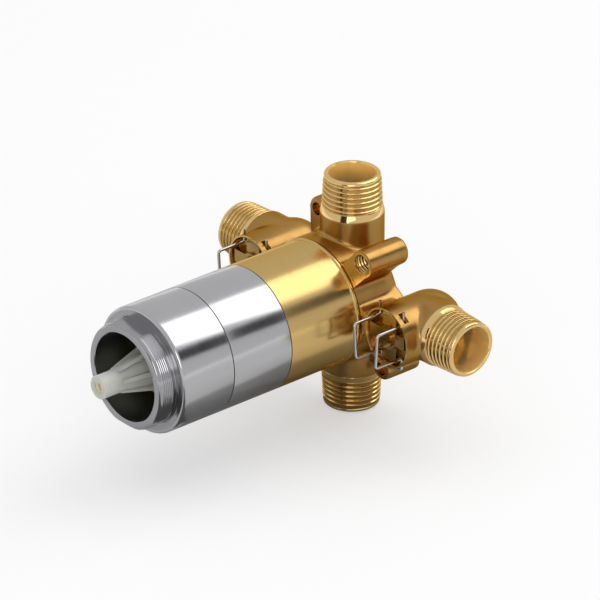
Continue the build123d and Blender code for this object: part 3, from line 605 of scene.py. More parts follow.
def thread_tree():
    """A grid rolled into a tube whose radius rises and falls along a helix."""
    tree = Nodes("helical_thread", [
        ("Root radius", "Float", 0.0095), ("Depth", "Float", 0.0008), ("Taper", "Float", 0.0004),
        ("Pitch", "Float", 0.0018), ("Length", "Float", 0.0122), ("Crest", "Float", 0.25),
        ("Root", "Float", 0.2), ("Run out", "Float", 0.8), ("Flats", "Float", 1.0), ("Around", "Int", 160),
        ("Along", "Int", 90), ("Surface", "Material", None)])
    given = tree.given.outputs
    grid = tree.add("GeometryNodeMeshGrid", {"Size X": 1.0, "Size Y": 1.0, "Vertices X": given["Around"],
                                            "Vertices Y": given["Along"]})
    split = tree.add("ShaderNodeSeparateXYZ", {0: tree.add("GeometryNodeInputPosition").outputs[0]})
    turn = tree.math("ADD", split.outputs["X"], 0.5)
    rise = tree.math("ADD", split.outputs["Y"], 0.5)
    height = tree.math("MULTIPLY", rise, given["Length"])
    turns = tree.math("DIVIDE", height, given["Pitch"])
    phase = tree.math("FRACT", tree.math("ADD", tree.math("SUBTRACT", turns, turn), 8.0))
    wave = tree.math("SUBTRACT", 1.0, tree.math("ABSOLUTE", tree.math("MULTIPLY_ADD", phase, 2.0, -1.0)))
    flank = tree.math("SUBTRACT", 1.0, tree.math("ADD", given["Crest"], given["Root"]))
    ridge = tree.math("DIVIDE", tree.math("SUBTRACT", wave, given["Root"]), flank, clamp=True)
    from_tip = tree.math("DIVIDE", turns, given["Run out"], clamp=True)
    turns_left = tree.math("DIVIDE", tree.math("SUBTRACT", given["Length"], height), given["Pitch"])
    from_base = tree.math("DIVIDE", turns_left, given["Run out"], clamp=True)
    shown = tree.math("MULTIPLY", tree.math("MULTIPLY", from_tip, from_base), given["Depth"])
    cone = tree.math("MULTIPLY_ADD", rise, given["Taper"], given["Root radius"])
    radius = tree.math("MULTIPLY_ADD", ridge, shown, cone)
    angle = tree.math("MULTIPLY", turn, 2 * math.pi)
    across = tree.math("MULTIPLY", tree.math("COSINE", angle), radius)
    beside = tree.math("MULTIPLY", tree.math("SINE", angle), radius)
    low = tree.math("MULTIPLY", given["Flats"], -1.0)
    flat = tree.math("MINIMUM", tree.math("MAXIMUM", across, low), given["Flats"])
    down = tree.math("MULTIPLY", height, -1.0)
    place = tree.add("ShaderNodeCombineXYZ", {"X": flat, "Y": beside, "Z": down})
    rolled = tree.add("GeometryNodeSetPosition", {"Geometry": grid.outputs[0], "Position": place.outputs[0]})
    merged = tree.add("GeometryNodeMergeByDistance", {"Geometry": rolled.outputs[0], "Distance": 1e-6})
    smooth = tree.add("GeometryNodeSetShadeSmooth", {"Geometry": merged.outputs[0], "Shade Smooth": True})
    tree.close(smooth.outputs[0], given["Surface"])
    return tree


def threaded(tree, name, place, surface, slot=0, **values):
    """A thread surface, its tip at the place's origin and its length along the place's minus Z."""
    carrier = placed(name, bpy.data.meshes.new(name))
    made = tree.run(carrier, {"Surface": surface, **values})
    made.data.transform(Matrix.Translation(place.translation * MM) @ place.to_3x3().to_4x4())
    made.data.polygons.foreach_set("material_index", np.full(len(made.data.polygons), slot))
    return made


# Casting

def reflected(outline, side, up):
    """An outline of (x, z) pairs on one side and half, for a prism laid along Y."""
    return [(side * x, -up * z) for x, z in outline]


def barrel_blank(bm):
    """Barrel with its rounded rear, the upright tube and the arm across it."""
    front = BODY_FRONT_Y - STOCK
    rounding = arc(BARREL_R - BARREL_ROUND_R, BODY_REAR_Y - BARREL_ROUND_R, BARREL_ROUND_R, 0, math.pi / 2)
    turned(bm, [(0, front), (BARREL_R, front)] + rounding + [(0, BODY_REAR_Y)], along(Y_AXIS), 180)
    low = THREAD_LENGTH + LAND_LENGTH - BOTTOM_TIP_Z - 1.0
    high = TOP_TIP_Z - THREAD_LENGTH - LAND_LENGTH + 1.0
    turned(bm, [(0, low), (NECK_R, low), (NECK_R, high), (0, high)], along((0, 0, 1)), 128)
    sideways = Matrix(((0, 0, 1, 0), (1, 0, 0, 0), (0, 1, 0, 0), (0, 0, 0, 1)))
    prism(bm, rounded_box(ARM_HALF_Y, ARM_HALF_Z, ARM_ROUND_R), Matrix.Translation((0, ARM_Y, 0)) @ sideways,
          -HOUSE_X, HOUSE_X)


def guard_blank(bm, side):
    """A guard boss and the web that ties it to the barrel."""
    front = BODY_FRONT_Y - STOCK
    root2 = math.sqrt(2)
    reach = 2 * (GUARD_XZ / root2)
    corners = []
    for lengthways, across in ((0, -GUARD_WEB), (reach, -GUARD_WEB), (reach, GUARD_WEB), (0, GUARD_WEB)):
        corners.append((side * (lengthways - across) / root2, -side * (lengthways + across) / root2))
    prism(bm, corners, LAID, front, 0.0)
    boss = [(0, front), (GUARD_R, front), (GUARD_R, GUARD_REAR_Y), (0, GUARD_REAR_Y)]
    turned(bm, softened(boss, 0.8), along(Y_AXIS, (side * GUARD_XZ, 0, side * GUARD_XZ)), 64)


def fixing_blank(bm, side):
    """A fixing boss and its web, on the other diagonal."""
    corners = [(side * -(FIX_X + FIX_R), side * -FIX_Z), (side * -(FIX_X + FIX_R - 1), side * -FIX_WEB_Z),
               (0, side * -FIX_WEB_Z), (side * -(FIX_X - FIX_R), side * -FIX_Z)]
    prism(bm, corners, LAID, FIX_FRONT_Y, BODY_REAR_Y)
    boss = [(0, FIX_FRONT_Y), (FIX_R, FIX_FRONT_Y), (FIX_R, FIX_REAR_Y), (0, FIX_REAR_Y)]
    turned(bm, softened(boss, 0.5), along(Y_AXIS, (side * -FIX_X, 0, side * FIX_Z)), 64)


def arm_blank(bm, side):
    """The hollow corners above and below the arm: a fillet in front and a web behind."""
    hollow = arc(FILLET_X, FILLET_Z, FILLET_R, -math.pi / 2, -math.radians(69.7), 6)
    fillet = [(18.0, 4.0), (26.0, 4.0), (25.6, 6.2)] + hollow + [(19.0, 7.0)]
    web = [(15.0, 3.0), (27.0, 3.0), (24.6, 6.0), (21.2, 8.2), (19.4, 9.6), (16.0, 8.0)]
    for up in (1, -1):
        prism(bm, reflected(fillet, side, up), LAID, BODY_FRONT_Y - 1, -2.0)
        prism(bm, reflected(web, side, up), LAID, -3.0, 2.6)


def house_blank(bm, side):
    """A domed stop housing and the neck of its inlet."""
    front = HOUSE_FRONT_Y - STOCK
    dome = arc(0, HOUSE_DOME_Y, HOUSE_R, 0, math.pi / 2)[:-1]
    turned(bm, [(0, front), (HOUSE_R, front)] + dome + [(0, HOUSE_DOME_Y + HOUSE_R)],
           along(Y_AXIS, (side * HOUSE_X, 0, 0)), 128)
    shoulder = SIDE_TIP_X - THREAD_LENGTH - LAND_LENGTH + 1.0
    turned(bm, [(0, HOUSE_X), (NECK_R, HOUSE_X), (NECK_R, shoulder), (0, shoulder)],
           along((side, 0, 0), (0, SIDE_PORT_Y, 0)), 128)


def blank(bm):
    """The raw casting's overlapping forms, longer wherever a cutter faces them off."""
    barrel_blank(bm)
    for side in (1, -1):
        guard_blank(bm, side)
        fixing_blank(bm, side)
        arm_blank(bm, side)
        house_blank(bm, side)


def smoothed(mesh, passes):
    """Rounds a dense mesh's edges by averaging each vertex with its neighbours."""
    count = len(mesh.vertices)
    co = np.zeros(count * 3)
    mesh.vertices.foreach_get("co", co)
    co = co.reshape(-1, 3)
    ends = np.zeros(len(mesh.edges) * 2, int)
    mesh.edges.foreach_get("vertices", ends)
    ends = ends.reshape(-1, 2)
    valence = np.bincount(ends.ravel(), minlength=count)[:, None]
    for _ in range(passes):
        total = np.zeros_like(co)
        for axis in range(3):
            total[:, axis] = (np.bincount(ends[:, 0], co[ends[:, 1], axis], count)
                              + np.bincount(ends[:, 1], co[ends[:, 0], axis], count))
        co = 0.4 * co + 0.6 * total / valence
    mesh.vertices.foreach_set("co", co.ravel())
    mesh.update()


def round_cut(profile, place, segments=128):
    """A closed turned cutter."""
    bm = bmesh.new()
    turned(bm, profile, place, segments)
    return bm


def box_cut(low, high):
    """A box cutter between two corners in millimetres."""
    bm = bmesh.new()
    low, high = Vector(low) * MM, Vector(high) * MM
    for vert in bmesh.ops.create_cube(bm, size=1.0)["verts"]:
        vert.co = Vector(((low[i] + high[i]) / 2 + vert.co[i] * (high[i] - low[i]) for i in range(3)))
    return bm


def cutters():
    """The machined spaces, each a closed turned or straight form."""
    yield box_cut((-60, -30, -45), (60, BODY_FRONT_Y + 0.05, 45))
    yield round_cut([(0, -30), (BARREL_BORE_R, -30), (BARREL_BORE_R, BARREL_FLOOR_Y),
                     (BARREL_SUMP_R, BARREL_FLOOR_Y), (BARREL_SUMP_R, BARREL_SUMP_Y), (0, BARREL_SUMP_Y)],
                    along(Y_AXIS))
    yield round_cut([(0, -BOTTOM_TIP_Z), (PORT_BORE_R, -BOTTOM_TIP_Z), (PORT_BORE_R, TOP_TIP_Z),
                     (0, TOP_TIP_Z)], along((0, 0, 1)))
    for side in (-1, 1):
        yield round_cut([(0, HOUSE_FRONT_Y - 3), (HOUSE_BORE_R + 0.3, HOUSE_FRONT_Y - 3),
                         (HOUSE_BORE_R + 0.3, HOUSE_FRONT_Y), (HOUSE_BORE_R, HOUSE_FRONT_Y + 0.35),
                         (HOUSE_BORE_R, STOP_STEP_Y), (HOUSE_FLOOR_R, STOP_STEP_Y),
                         (HOUSE_FLOOR_R, HOUSE_FLOOR_Y), (HOUSE_FLOOR_R - 3, HOUSE_FLOOR_Y + 2.5),
                         (0, HOUSE_FLOOR_Y + 2.5)],
                        along(Y_AXIS, (side * HOUSE_X, 0, 0)))
        yield round_cut([(0, INLET_FLOOR_X - 3), (PORT_BORE_R, INLET_FLOOR_X), (PORT_BORE_R, SIDE_TIP_X),
                         (0, SIDE_TIP_X)], along((side, 0, 0), (0, SIDE_PORT_Y, 0)))
        yield round_cut([(0, HOUSE_X), (INLET_HOLE_R, HOUSE_X), (INLET_HOLE_R, INLET_FLOOR_X + 1),
                         (0, INLET_FLOOR_X + 1)], along((side, 0, 0), (0, INLET_HOLE_Y, 0)), 48)
        inner = BARREL_BORE_R * 0.9
        yield round_cut([(0, inner), (PASSAGE_R, inner), (PASSAGE_R, HOUSE_X), (0, HOUSE_X)],
                        along((side, 0, 0), (0, PASSAGE_Y[side], 0)), 32)
        for leg in (1, -1):
            middle = side * HOUSE_X + leg * (SLOT_X[0] + SLOT_X[1]) / 2
            half = (SLOT_X[1] - SLOT_X[0]) / 2
            yield box_cut((middle - half, CLIP_Y - SLOT_HALF_Y, -HOUSE_R - 1),
                          (middle + half, CLIP_Y + SLOT_HALF_Y, HOUSE_R + 1))
        hole, floor = GUARD_HOLE_R + 0.4, BODY_FRONT_Y + GUARD_DEPTH
        yield round_cut([(0, BODY_FRONT_Y - 1), (hole, BODY_FRONT_Y - 1), (hole, floor), (0, floor + 1.6)],
                        along(Y_AXIS, (side * GUARD_XZ, 0, side * GUARD_XZ)), 64)
        yield round_cut([(0, FIX_FRONT_Y - 3), (FIX_HOLE_R, FIX_FRONT_Y - 3), (FIX_HOLE_R, FIX_REAR_Y + 3),
                         (0, FIX_REAR_Y + 3)], along(Y_AXIS, (side * -FIX_X, 0, side * FIX_Z)), 48)


def cast_skin(surfaces):
    """The blank blended on a grid, then cut by the machined spaces."""
    bm = bmesh.new()
    blank(bm)
    raw = finished(bm, "casting", surfaces)
    grid = raw.modifiers.new("grid", "REMESH")
    grid.mode = "VOXEL"
    grid.voxel_size = sizes().voxel
    raw = baked(raw)
    smoothed(raw.data, sizes().rounding)
    for number, shape in enumerate(cutters()):
        cutter = finished(shape, f"cutter_{number}", [material("machined")])
        cut = raw.modifiers.new("cut", "BOOLEAN")
        cut.object = cutter
        cut.operation = "DIFFERENCE"
        cut.solver = "MANIFOLD"
        cut.material_mode = "TRANSFER"
        raw = baked(raw)
        bpy.data.objects.remove(cutter)
        if not len(raw.data.vertices):
            raise RuntimeError(f"cutter {number} left nothing of the casting")
    raw.data.shade_smooth()
    raw.data.set_sharp_from_angle(angle=math.radians(45))
    return raw


def machined_front(surfaces):
    """The spigot that holds the collar, and the beads around the tapped holes."""
    bm = bmesh.new()
    spigot = [(BARREL_BORE_R, SPIGOT_Y), (SPIGOT_R, SPIGOT_Y), (SPIGOT_R, COLLAR_Y + 0.1),
              (SPIGOT_FOOT_R, COLLAR_Y + 0.1), (SPIGOT_FOOT_R, BODY_FRONT_Y + 0.5),
              (BARREL_BORE_R, BODY_FRONT_Y + 0.5)]
    turned(bm, softened(spigot, 0.3), along(Y_AXIS), 180)
    for side in (1, -1):
        bead = [(GUARD_HOLE_R + 0.42 + 0.3 * math.cos(math.pi / 5 * k),
                 BODY_FRONT_Y + 0.3 * math.sin(math.pi / 5 * k)) for k in range(10)]
        turned(bm, bead, along(Y_AXIS, (side * GUARD_XZ, 0, side * GUARD_XZ)), 64)
    paint(bm, 1)
    return finished(bm, "spigot", surfaces)


def tapped_hole(side, surfaces):
    """The thread inside a guard boss, with the thin shell that closes it."""
    depth = GUARD_DEPTH - TAP_START
    start = Matrix.Translation((side * GUARD_XZ, BODY_FRONT_Y + TAP_START, side * GUARD_XZ))
    place = start @ Matrix.Rotation(math.pi / 2, 4, "X")
    thread = threaded(thread_tree(), f"tap_{side}", place, surfaces[1], slot=1, **{
        "Root radius": TAP_R * MM, "Depth": -TAP_DEPTH * MM, "Taper": 0.0, "Pitch": TAP_PITCH * MM,
        "Length": depth * MM, "Crest": 0.15, "Root": 0.15, "Run out": 0.3, "Flats": 1.0, "Around": 49,
        "Along": 72})
    outer = TAP_R + 0.12
    bm = bmesh.new()
    turned(bm, [(TAP_R, 0), (outer, 0), (outer, -depth), (TAP_R, -depth)], place, 48, closed=False)
    paint(bm, 1)
    return [thread, finished(bm, f"tap_shell_{side}", surfaces)]


class VALVE_OT_casting(bpy.types.Operator):
    """Make the brass casting: a blended cast skin cut by machined bores and faces"""
    bl_idname = "valve.casting"
    bl_label = "Casting"

    def execute(self, context):
        surfaces = [material("casting"), material("machined")]
        pieces = [cast_skin(surfaces), machined_front(surfaces)]
        for side in (1, -1):
            pieces += tapped_hole(side, surfaces)
        settle(joined(pieces, "casting_skin"), "valve", "cast_brass", "valve_body")
        return {"FINISHED"}


# Pipe ports

def port_core(name, place, tip, surfaces):
    """A port's land, mouth and bore as one turned shell, open where its thread goes."""
    size = sizes()
    base = tip - THREAD_LENGTH
    land_base = base - LAND_LENGTH
    bore = PORT_BORE_R - 0.1
    root_tip = size.root / MM
    root_base = (size.root + size.taper) / MM
    land = [(root_base, base), (root_base + 0.35, base - 0.06), (root_base + 0.5, base - 0.25),
            (LAND_R - 0.3, land_base + 0.3), (LAND_R - 0.24, land_base + 0.1), (LAND_R - 0.3, land_base),
            (NECK_R - 1.4, land_base - 0.2), (PORT_BORE_R - 0.12, land_base - 0.6)]
    mouth = [(bore, tip - 9), (bore, tip - 0.6), (PORT_BORE_R + 0.05, tip - 0.25),
             (PORT_BORE_R + 0.2, tip - 0.05), (PORT_BORE_R + 0.4, tip),
             (root_tip - 0.6, tip - 0.1), (root_tip - 0.2, tip - 0.3),
             (root_tip + 0.08, tip - 0.6), (root_tip + 0.2, tip - 0.95), (root_tip + 0.18, tip - 1.2),
             (root_tip, tip - PORT_LEAD)]
    bm = bmesh.new()
    turned(bm, land + mouth, place, 144, closed=False)
    back = place.inverted()
    # Faces inside the bore take the pale brass that paints light into it
    paint(bm, 1, lambda face: (back @ (face.calc_center_median() / MM)).xy.length < PORT_BORE_R + 0.15)
    return finished(bm, name, surfaces, 30)


def port_thread(name, tree, place, surfaces):
    """A port's taper thread, with painted shade in its roots: they take a darker copy of the thread's brass.
    """
    size = sizes()
    run = THREAD_LENGTH - PORT_LEAD
    piece = threaded(tree, name, place, surfaces[0], **{
        "Root radius": size.root, "Depth": size.depth, "Taper": size.taper, "Pitch": size.pitch,
        "Length": run * MM, "Crest": 0.10, "Root": 0.58, "Run out": 0.4, "Flats": 1.0, "Around": 145,
        "Along": 140})
    back = place.inverted()
    for face in piece.data.polygons:
        middle = back @ (face.center / MM)
        rise = middle.xy.length - size.root / MM + middle.z / run * size.taper / MM
        # Faces low between the ridges take the darker brass, which paints shade into the roots
        if rise < 0.3 * size.depth / MM:
            face.material_index = 2
    return piece


class VALVE_OT_ports(bpy.types.Operator):
    """Make the four pipe ports: taper threads, lands and mouths"""
    bl_idname = "valve.ports"
    bl_label = "Pipe ports"

    def execute(self, context):
        tree = thread_tree()
        surfaces = [material("thread"), material("bore"), material("thread_root_painted_shade")]
        ports = (((0, 0, 1), TOP_TIP_Z, (0, 0, 0)), ((0, 0, -1), BOTTOM_TIP_Z, (0, 0, 0)),
                 ((-1, 0, 0), SIDE_TIP_X, (0, SIDE_PORT_Y, 0)), ((1, 0, 0), SIDE_TIP_X, (0, SIDE_PORT_Y, 0)))
        pieces = []
        for number, (direction, tip, centre) in enumerate(ports):
            pieces.append(port_core(f"port_{number}", along(direction, centre), tip, surfaces))
            start = along(direction, tuple(Vector(centre) + Vector(direction) * (tip - PORT_LEAD)))
            pieces.append(port_thread(f"port_thread_{number}", tree, start, surfaces))
        settle(joined(pieces, "pipe_ports"), "valve", "cast_brass")
        return {"FINISHED"}


# Collar, sleeves and nose

def ring(name, profile, rounding, surface, segments=256):
    """A turned ring about the barrel's axis."""
    bm = bmesh.new()
    turned(bm, softened(profile, rounding), along(Y_AXIS), segments)
    return finished(bm, name, [material(surface)])


class VALVE_OT_sleeves(bpy.types.Operator):
    """Make the collar and the two satin sleeves"""
    bl_idname = "valve.sleeves"
    bl_label = "Collar and sleeves"

    def execute(self, context):
        flange_r, socket_r, socket_y = SLEEVE_R + 0.5, SPIGOT_R + 0.05, SPIGOT_Y - 0.05
        collar = [(COLLAR_BORE_R, COLLAR_SPIGOT_Y), (COLLAR_SPIGOT_R, COLLAR_SPIGOT_Y),
                  (COLLAR_SPIGOT_R, CHROME_Y + SEAM), (SLEEVE_R, CHROME_Y + SEAM), (SLEEVE_R, COLLAR_Y - 1.0),
                  (SLEEVE_R + 0.3, COLLAR_Y - 0.85), (flange_r, COLLAR_Y - 0.45), (flange_r, COLLAR_Y + 0.1),
                  (SLEEVE_R + 0.3, COLLAR_Y + 0.42), (socket_r, COLLAR_Y + 0.42), (socket_r, socket_y),
                  (COLLAR_BORE_R, socket_y)]
        settle(ring("collar", collar, 0.08, "collar"), "valve", "turned_brass", "body_collar")
        rear = [(SLEEVE_BORE_R, SEAM_Y + SEAM), (SLEEVE_R, SEAM_Y + SEAM), (SLEEVE_R, CHROME_Y - SEAM),
                (SLEEVE_BORE_R, CHROME_Y - SEAM)]
        settle(ring("sleeve_rear", rear, 0.06, "sleeve"), "valve", "satin_chrome", "rear_sleeve")
        # A quarter round in four flats, by shares of the bevel's size
        bevel = [(SLEEVE_R - inward * FRONT_BEVEL, SHOULDER_Y + back * FRONT_BEVEL)
                 for inward, back in ((1, 0), (0.62, 0.08), (0.29, 0.29), (0.08, 0.62), (0, 1))]
        front = [(RECESS_R, SHOULDER_Y)] + bevel + [
            (SLEEVE_R, SEAM_Y - SEAM), (SLEEVE_BORE_R, SEAM_Y - SEAM), (SLEEVE_BORE_R, SHOULDER_Y + RECESS),
            (RECESS_R, SHOULDER_Y + RECESS)]
        settle(ring("sleeve_front", front, 0.08, "sleeve"), "valve", "satin_chrome", "front_sleeve")
        return {"FINISHED"}


def nose_core(front, root):
    """The nose's lip, bore, tail and ridge with its two flats, open where its thread goes."""
    tail_r, seat_r = SLEEVE_BORE_R - 0.05, RECESS_R - 0.01
    lip = [(root, front), (root - 0.02, NOSE_Y + 1.1), (root - 0.16, NOSE_Y + 0.6),
           (root - 0.45, NOSE_Y + 0.24), (root - 0.85, NOSE_Y + 0.05), (root - 1.2, NOSE_Y),
           (NOSE_BORE_R + 0.25, NOSE_Y), (NOSE_BORE_R, NOSE_Y + 0.25)]
    tail = [(NOSE_BORE_R, NOSE_TAIL_Y), (tail_r, NOSE_TAIL_Y), (tail_r, SHOULDER_Y + RECESS + 0.05),
            (seat_r, SHOULDER_Y + RECESS - 0.05), (seat_r, SHOULDER_Y + 0.02)]
    ridge = [(NOSE_RIDGE_R + 0.25, SHOULDER_Y + 0.02), (NOSE_RIDGE_R - 0.02, SHOULDER_Y - 0.04),
             (NOSE_RIDGE_R, NOSE_RIDGE_Y + 0.12), (NOSE_RIDGE_R - 0.12, NOSE_RIDGE_Y),
             (NOSE_THREAD_R - 0.3, NOSE_RIDGE_Y), (NOSE_THREAD_R - 0.3, NOSE_THREAD_Y), (root, NOSE_THREAD_Y)]
    bm = bmesh.new()
    turned(bm, lip + tail + ridge, along(Y_AXIS), 256, closed=False)
    # Faces inside the bore take the dark grey that paints shade into it
    paint(bm, 1, lambda face: (face.calc_center_median() / MM).xz.length < NOSE_BORE_R + 0.1)
    limit = NOSE_FLAT_Z * MM
    for vert in bm.verts:
        if vert.co.y < (SHOULDER_Y - 0.02) * MM:
            vert.co.z = max(-limit, min(limit, vert.co.z))
    return finished(bm, "nose_core", [material("nose"), material("nose_bore_painted_shade")], 30)


class VALVE_OT_nose(bpy.types.Operator):
    """Make the nose ring with its fine thread and two flats"""
    bl_idname = "valve.nose"
    bl_label = "Nose ring"

    def execute(self, context):
        front = NOSE_Y + NOSE_LIP
        root = NOSE_THREAD_R - 0.24
        core = nose_core(front, root)
        # The thread's X, which its flats cut, lies along the valve's Z
        turn = Matrix(((0, -1, 0, 0), (0, 0, 1, 0), (-1, 0, 0, 0), (0, 0, 0, 1)))
        place = Matrix.Translation((0, NOSE_THREAD_Y, 0)) @ turn
        thread = threaded(thread_tree(), "nose_thread", place, material("nose"), **{
            "Root radius": root * MM, "Depth": NOSE_THREAD_DEPTH * MM, "Taper": 0.0,
            "Pitch": sizes().nose_pitch, "Length": (NOSE_THREAD_Y - front) * MM, "Crest": 0.1, "Root": 0.1,
            "Run out": 0.6, "Flats": NOSE_FLAT_Z * MM, "Around": 257, "Along": 110})
        settle(joined([core, thread], "nose"), "valve", "satin_chrome", "nose_ring")
        return {"FINISHED"}


# Handle adapter

class VALVE_OT_adapter(bpy.types.Operator):
    """Make the ribbed handle adapter and its brass bush"""
    bl_idname = "valve.adapter"
    bl_label = "Handle adapter"

    def execute(self, context):
        shank, rear, bush_y = ADAPTER_TIP_Y + ADAPTER_SHANK, ADAPTER_CONE_Y + 2.2, ADAPTER_TIP_Y + 0.6
        hole_r, bore_r, socket_r, socket_y = 1.75, 2.625, 4.025, -98.3
        bm = bmesh.new()
        turned(bm, softened([(BUSH_R + 0.02, bush_y), (hole_r, bush_y), (hole_r, ADAPTER_TIP_Y),
                             (ADAPTER_TIP_R, ADAPTER_TIP_Y), (ADAPTER_TIP_R, shank),
                             (ADAPTER_CONE_R, ADAPTER_CONE_Y), (ADAPTER_FLANGE_R, ADAPTER_CONE_Y),
                             (ADAPTER_FLANGE_R, rear), (socket_r, rear), (socket_r, socket_y),
                             (bore_r, socket_y)], 0.45, 4), along(Y_AXIS), 128)
        for index in range(ADAPTER_RIBS):
            turn = Matrix.Rotation(-math.radians(360 / ADAPTER_RIBS * index + 15), 4, "Y")
            outline = [(ADAPTER_TIP_R - 0.6, shank - 0.2), (ADAPTER_TIP_R + 0.15, shank - 0.2),
                       (ADAPTER_TIP_R + 0.45, shank + 0.4), (9.0, ADAPTER_CONE_Y - 0.1),
                       (9.2, ADAPTER_CONE_Y + 0.2), (ADAPTER_CONE_R - 0.8, ADAPTER_CONE_Y + 0.2)]
            prism(bm, outline, turn, -0.8, 0.8)
        piece = finished(bm, "adapter", [material("nylon")])
        break_edges(piece, 0.15, 50)
        settle(baked(piece), "control", "nylon", "handle_adapter")
        front, back = ADAPTER_TIP_Y + 0.65, ADAPTER_TIP_Y + 10
        bush = [(BUSH_BORE_R, front), (BUSH_R, front), (BUSH_R, back), (BUSH_BORE_R, back)]
        # The bush takes the pale brass that paints light into the adapter's hole
        settle(ring("adapter_bush", bush, 0.2, "bush", 96), "control", "turned_brass", "adapter_insert")
        return {"FINISHED"}


# Wire clips

def wire_tree():
    """A path with its corners bent, swept by the wire's round section."""
    tree = Nodes("bent_wire", [("Wire radius", "Float", 0.00055), ("Bend radius", "Float", 0.0011),
                               ("Surface", "Material", None)])
    given = tree.given.outputs
    bent = tree.add("GeometryNodeFilletCurve", {
        "Curve": given["Geometry"], "Count": 7, "Radius": given["Bend radius"], "Limit Radius": True},
        mode="POLY")
    section = tree.add("GeometryNodeCurvePrimitiveCircle", {"Resolution": 16, "Radius": given["Wire radius"]})
    wire = tree.add("GeometryNodeCurveToMesh", {"Curve": bent.outputs[0], "Profile Curve": section.outputs[0],
                                                "Fill Caps": True})
    smooth = tree.add("GeometryNodeSetShadeSmooth", {"Geometry": wire.outputs[0], "Shade Smooth": True})
    tree.close(smooth.outputs[0], given["Surface"])
    return tree


class VALVE_OT_clips(bpy.types.Operator):
    """Make the two wire clips with their finger loops"""
    bl_idname = "valve.clips"
    bl_label = "Wire clips"

    def execute(self, context):
        tree = wire_tree()
        half = [(CLIP_HIGH_X, CLIP_Y, 11.5), (CLIP_HIGH_X, CLIP_Y, CLIP_LOOP_Z),
                (CLIP_HIGH_X, CLIP_LOOP_Y, CLIP_LOOP_Z), (CLIP_LOW_X, CLIP_LOOP_Y, CLIP_LOW_Z),
                (CLIP_LOW_X, CLIP_Y, CLIP_LOW_Z), (CLIP_LOW_X, CLIP_Y, 1 - CLIP_BASE_R),
                (CLIP_LOW_X / 2, CLIP_Y, -CLIP_BASE_R)]
        for hand, side in SIDES:
            points = [(-x, y, z) for x, y, z in half] + [(x, y, z) for x, y, z in reversed(half)]
            line = bpy.data.curves.new(f"clip_{hand}", "CURVE")
            line.dimensions = "3D"
            spline = line.splines.new("POLY")
            spline.points.add(len(points) - 1)
            for point, (x, y, z) in zip(spline.points, points):
                point.co = ((x + side * HOUSE_X) * MM, y * MM, z * MM, 1)
            piece = tree.run(placed(f"clip_{hand}", line), {
                "Wire radius": CLIP_WIRE_R * MM, "Bend radius": CLIP_BEND * MM, "Surface": material("steel")})
            piece.data.set_sharp_from_angle(angle=math.radians(50))
            settle(piece, "valve", "spring_steel", f"retaining_clip_{hand}")
        return {"FINISHED"}


# Stops and enclosed pieces

def dressed(node, body, slot, surface, width):
    """A node's own shape with its sharp edges broken."""
    bm = bmesh.new()
    bm.from_mesh(frame["nodes"][node].data)
    bmesh.ops.remove_doubles(bm, verts=bm.verts, dist=1e-6)
    bmesh.ops.dissolve_limit(bm, angle_limit=math.radians(1), verts=bm.verts, edges=bm.edges)
    mesh = bpy.data.meshes.new(node)
    bm.to_mesh(mesh)
    bm.free()
    mesh.materials.append(surface)
    mesh.shade_smooth()
    mesh.set_sharp_from_angle(angle=math.radians(35))
    piece = placed(node + "_dressed", mesh)
    break_edges(piece, width, 40).harden_normals = True
    settle(baked(piece), body, slot, node)


class VALVE_OT_stops(bpy.types.Operator):
    """Break the edges of the stop inserts and their slotted screws"""
    bl_idname = "valve.stops"
    bl_label = "Stop inserts"

    def execute(self, context):
        for hand, _ in SIDES:
            dressed(f"stop_insert_{hand}", "valve", "turned_brass", material("insert"), 0.25)
            dressed(f"stop_screw_{hand}", f"{hand}_screw", "turned_brass", material("insert"), 0.2)
        return {"FINISHED"}


class VALVE_OT_inside(bpy.types.Operator):
    """Give the enclosed pieces their own materials"""
    bl_idname = "valve.inside"
    bl_label = "Enclosed pieces"

    def execute(self, context):
        surfaces = {"cast_brass": "casting", "turned_brass": "machined", "satin_chrome": "sleeve",
                    "spring_steel": "steel", "nylon": "inner_nylon", "seal_rubber": "rubber"}
        slots = {entry["node"]: entry["material_slot"] for entry in frame["record"]["subparts"]}
        for name, node in frame["nodes"].items():
            if node.hide_render:
                continue
            for holder in node.material_slots:
                holder.material = material(surfaces[slots[name]])
        return {"FINISHED"}


# Stage

def floor():
    """A pale floor that keeps the shadow and looks near white to the camera and in the metal."""
    look = Shader("pale_floor")
    look.set(roughness=0.9, specular_ior_level=0.1)
    look.link(look.mix(look.noise(3, detail=2), (0.93, 0.93, 0.93), (0.95, 0.95, 0.95)), "Base Color")
    plain = look.add("Emission", {"Strength": 1.0})
    path = look.add("LightPath")
    seen = look.add("Math", {0: path.outputs["Is Camera Ray"], 1: path.outputs["Is Glossy Ray"]},
                    operation="MAXIMUM")
    seen = look.add("Math", {0: seen.outputs[0], 1: path.outputs["Is Transmission Ray"]}, operation="MAXIMUM")
    part = look.add("Math", {0: seen.outputs[0], 1: 0.5}, operation="MULTIPLY")
    both = look.add("MixShader", {0: part.outputs[0], 1: look.surface.outputs[0], 2: plain.outputs[0]})
    look.tree.links.new(both.outputs[0], look.out.inputs[0])
    bm = bmesh.new()
    bmesh.ops.create_grid(bm, x_segments=2, y_segments=2, size=6.0)
    bmesh.ops.translate(bm, verts=bm.verts, vec=(0, 0, -(BOTTOM_TIP_Z + 0.5) * MM))
    finished(bm, "floor", [look.material])


def backdrop():
    """A pale grey world all round."""
    world = bpy.data.worlds.new("studio")
    world.use_nodes = True
    background = world.node_tree.nodes["Background"]
    background.inputs["Color"].default_value = (0.60, 0.60, 0.605, 1)
    background.inputs["Strength"].default_value = 1.0
    bpy.context.scene.world = world


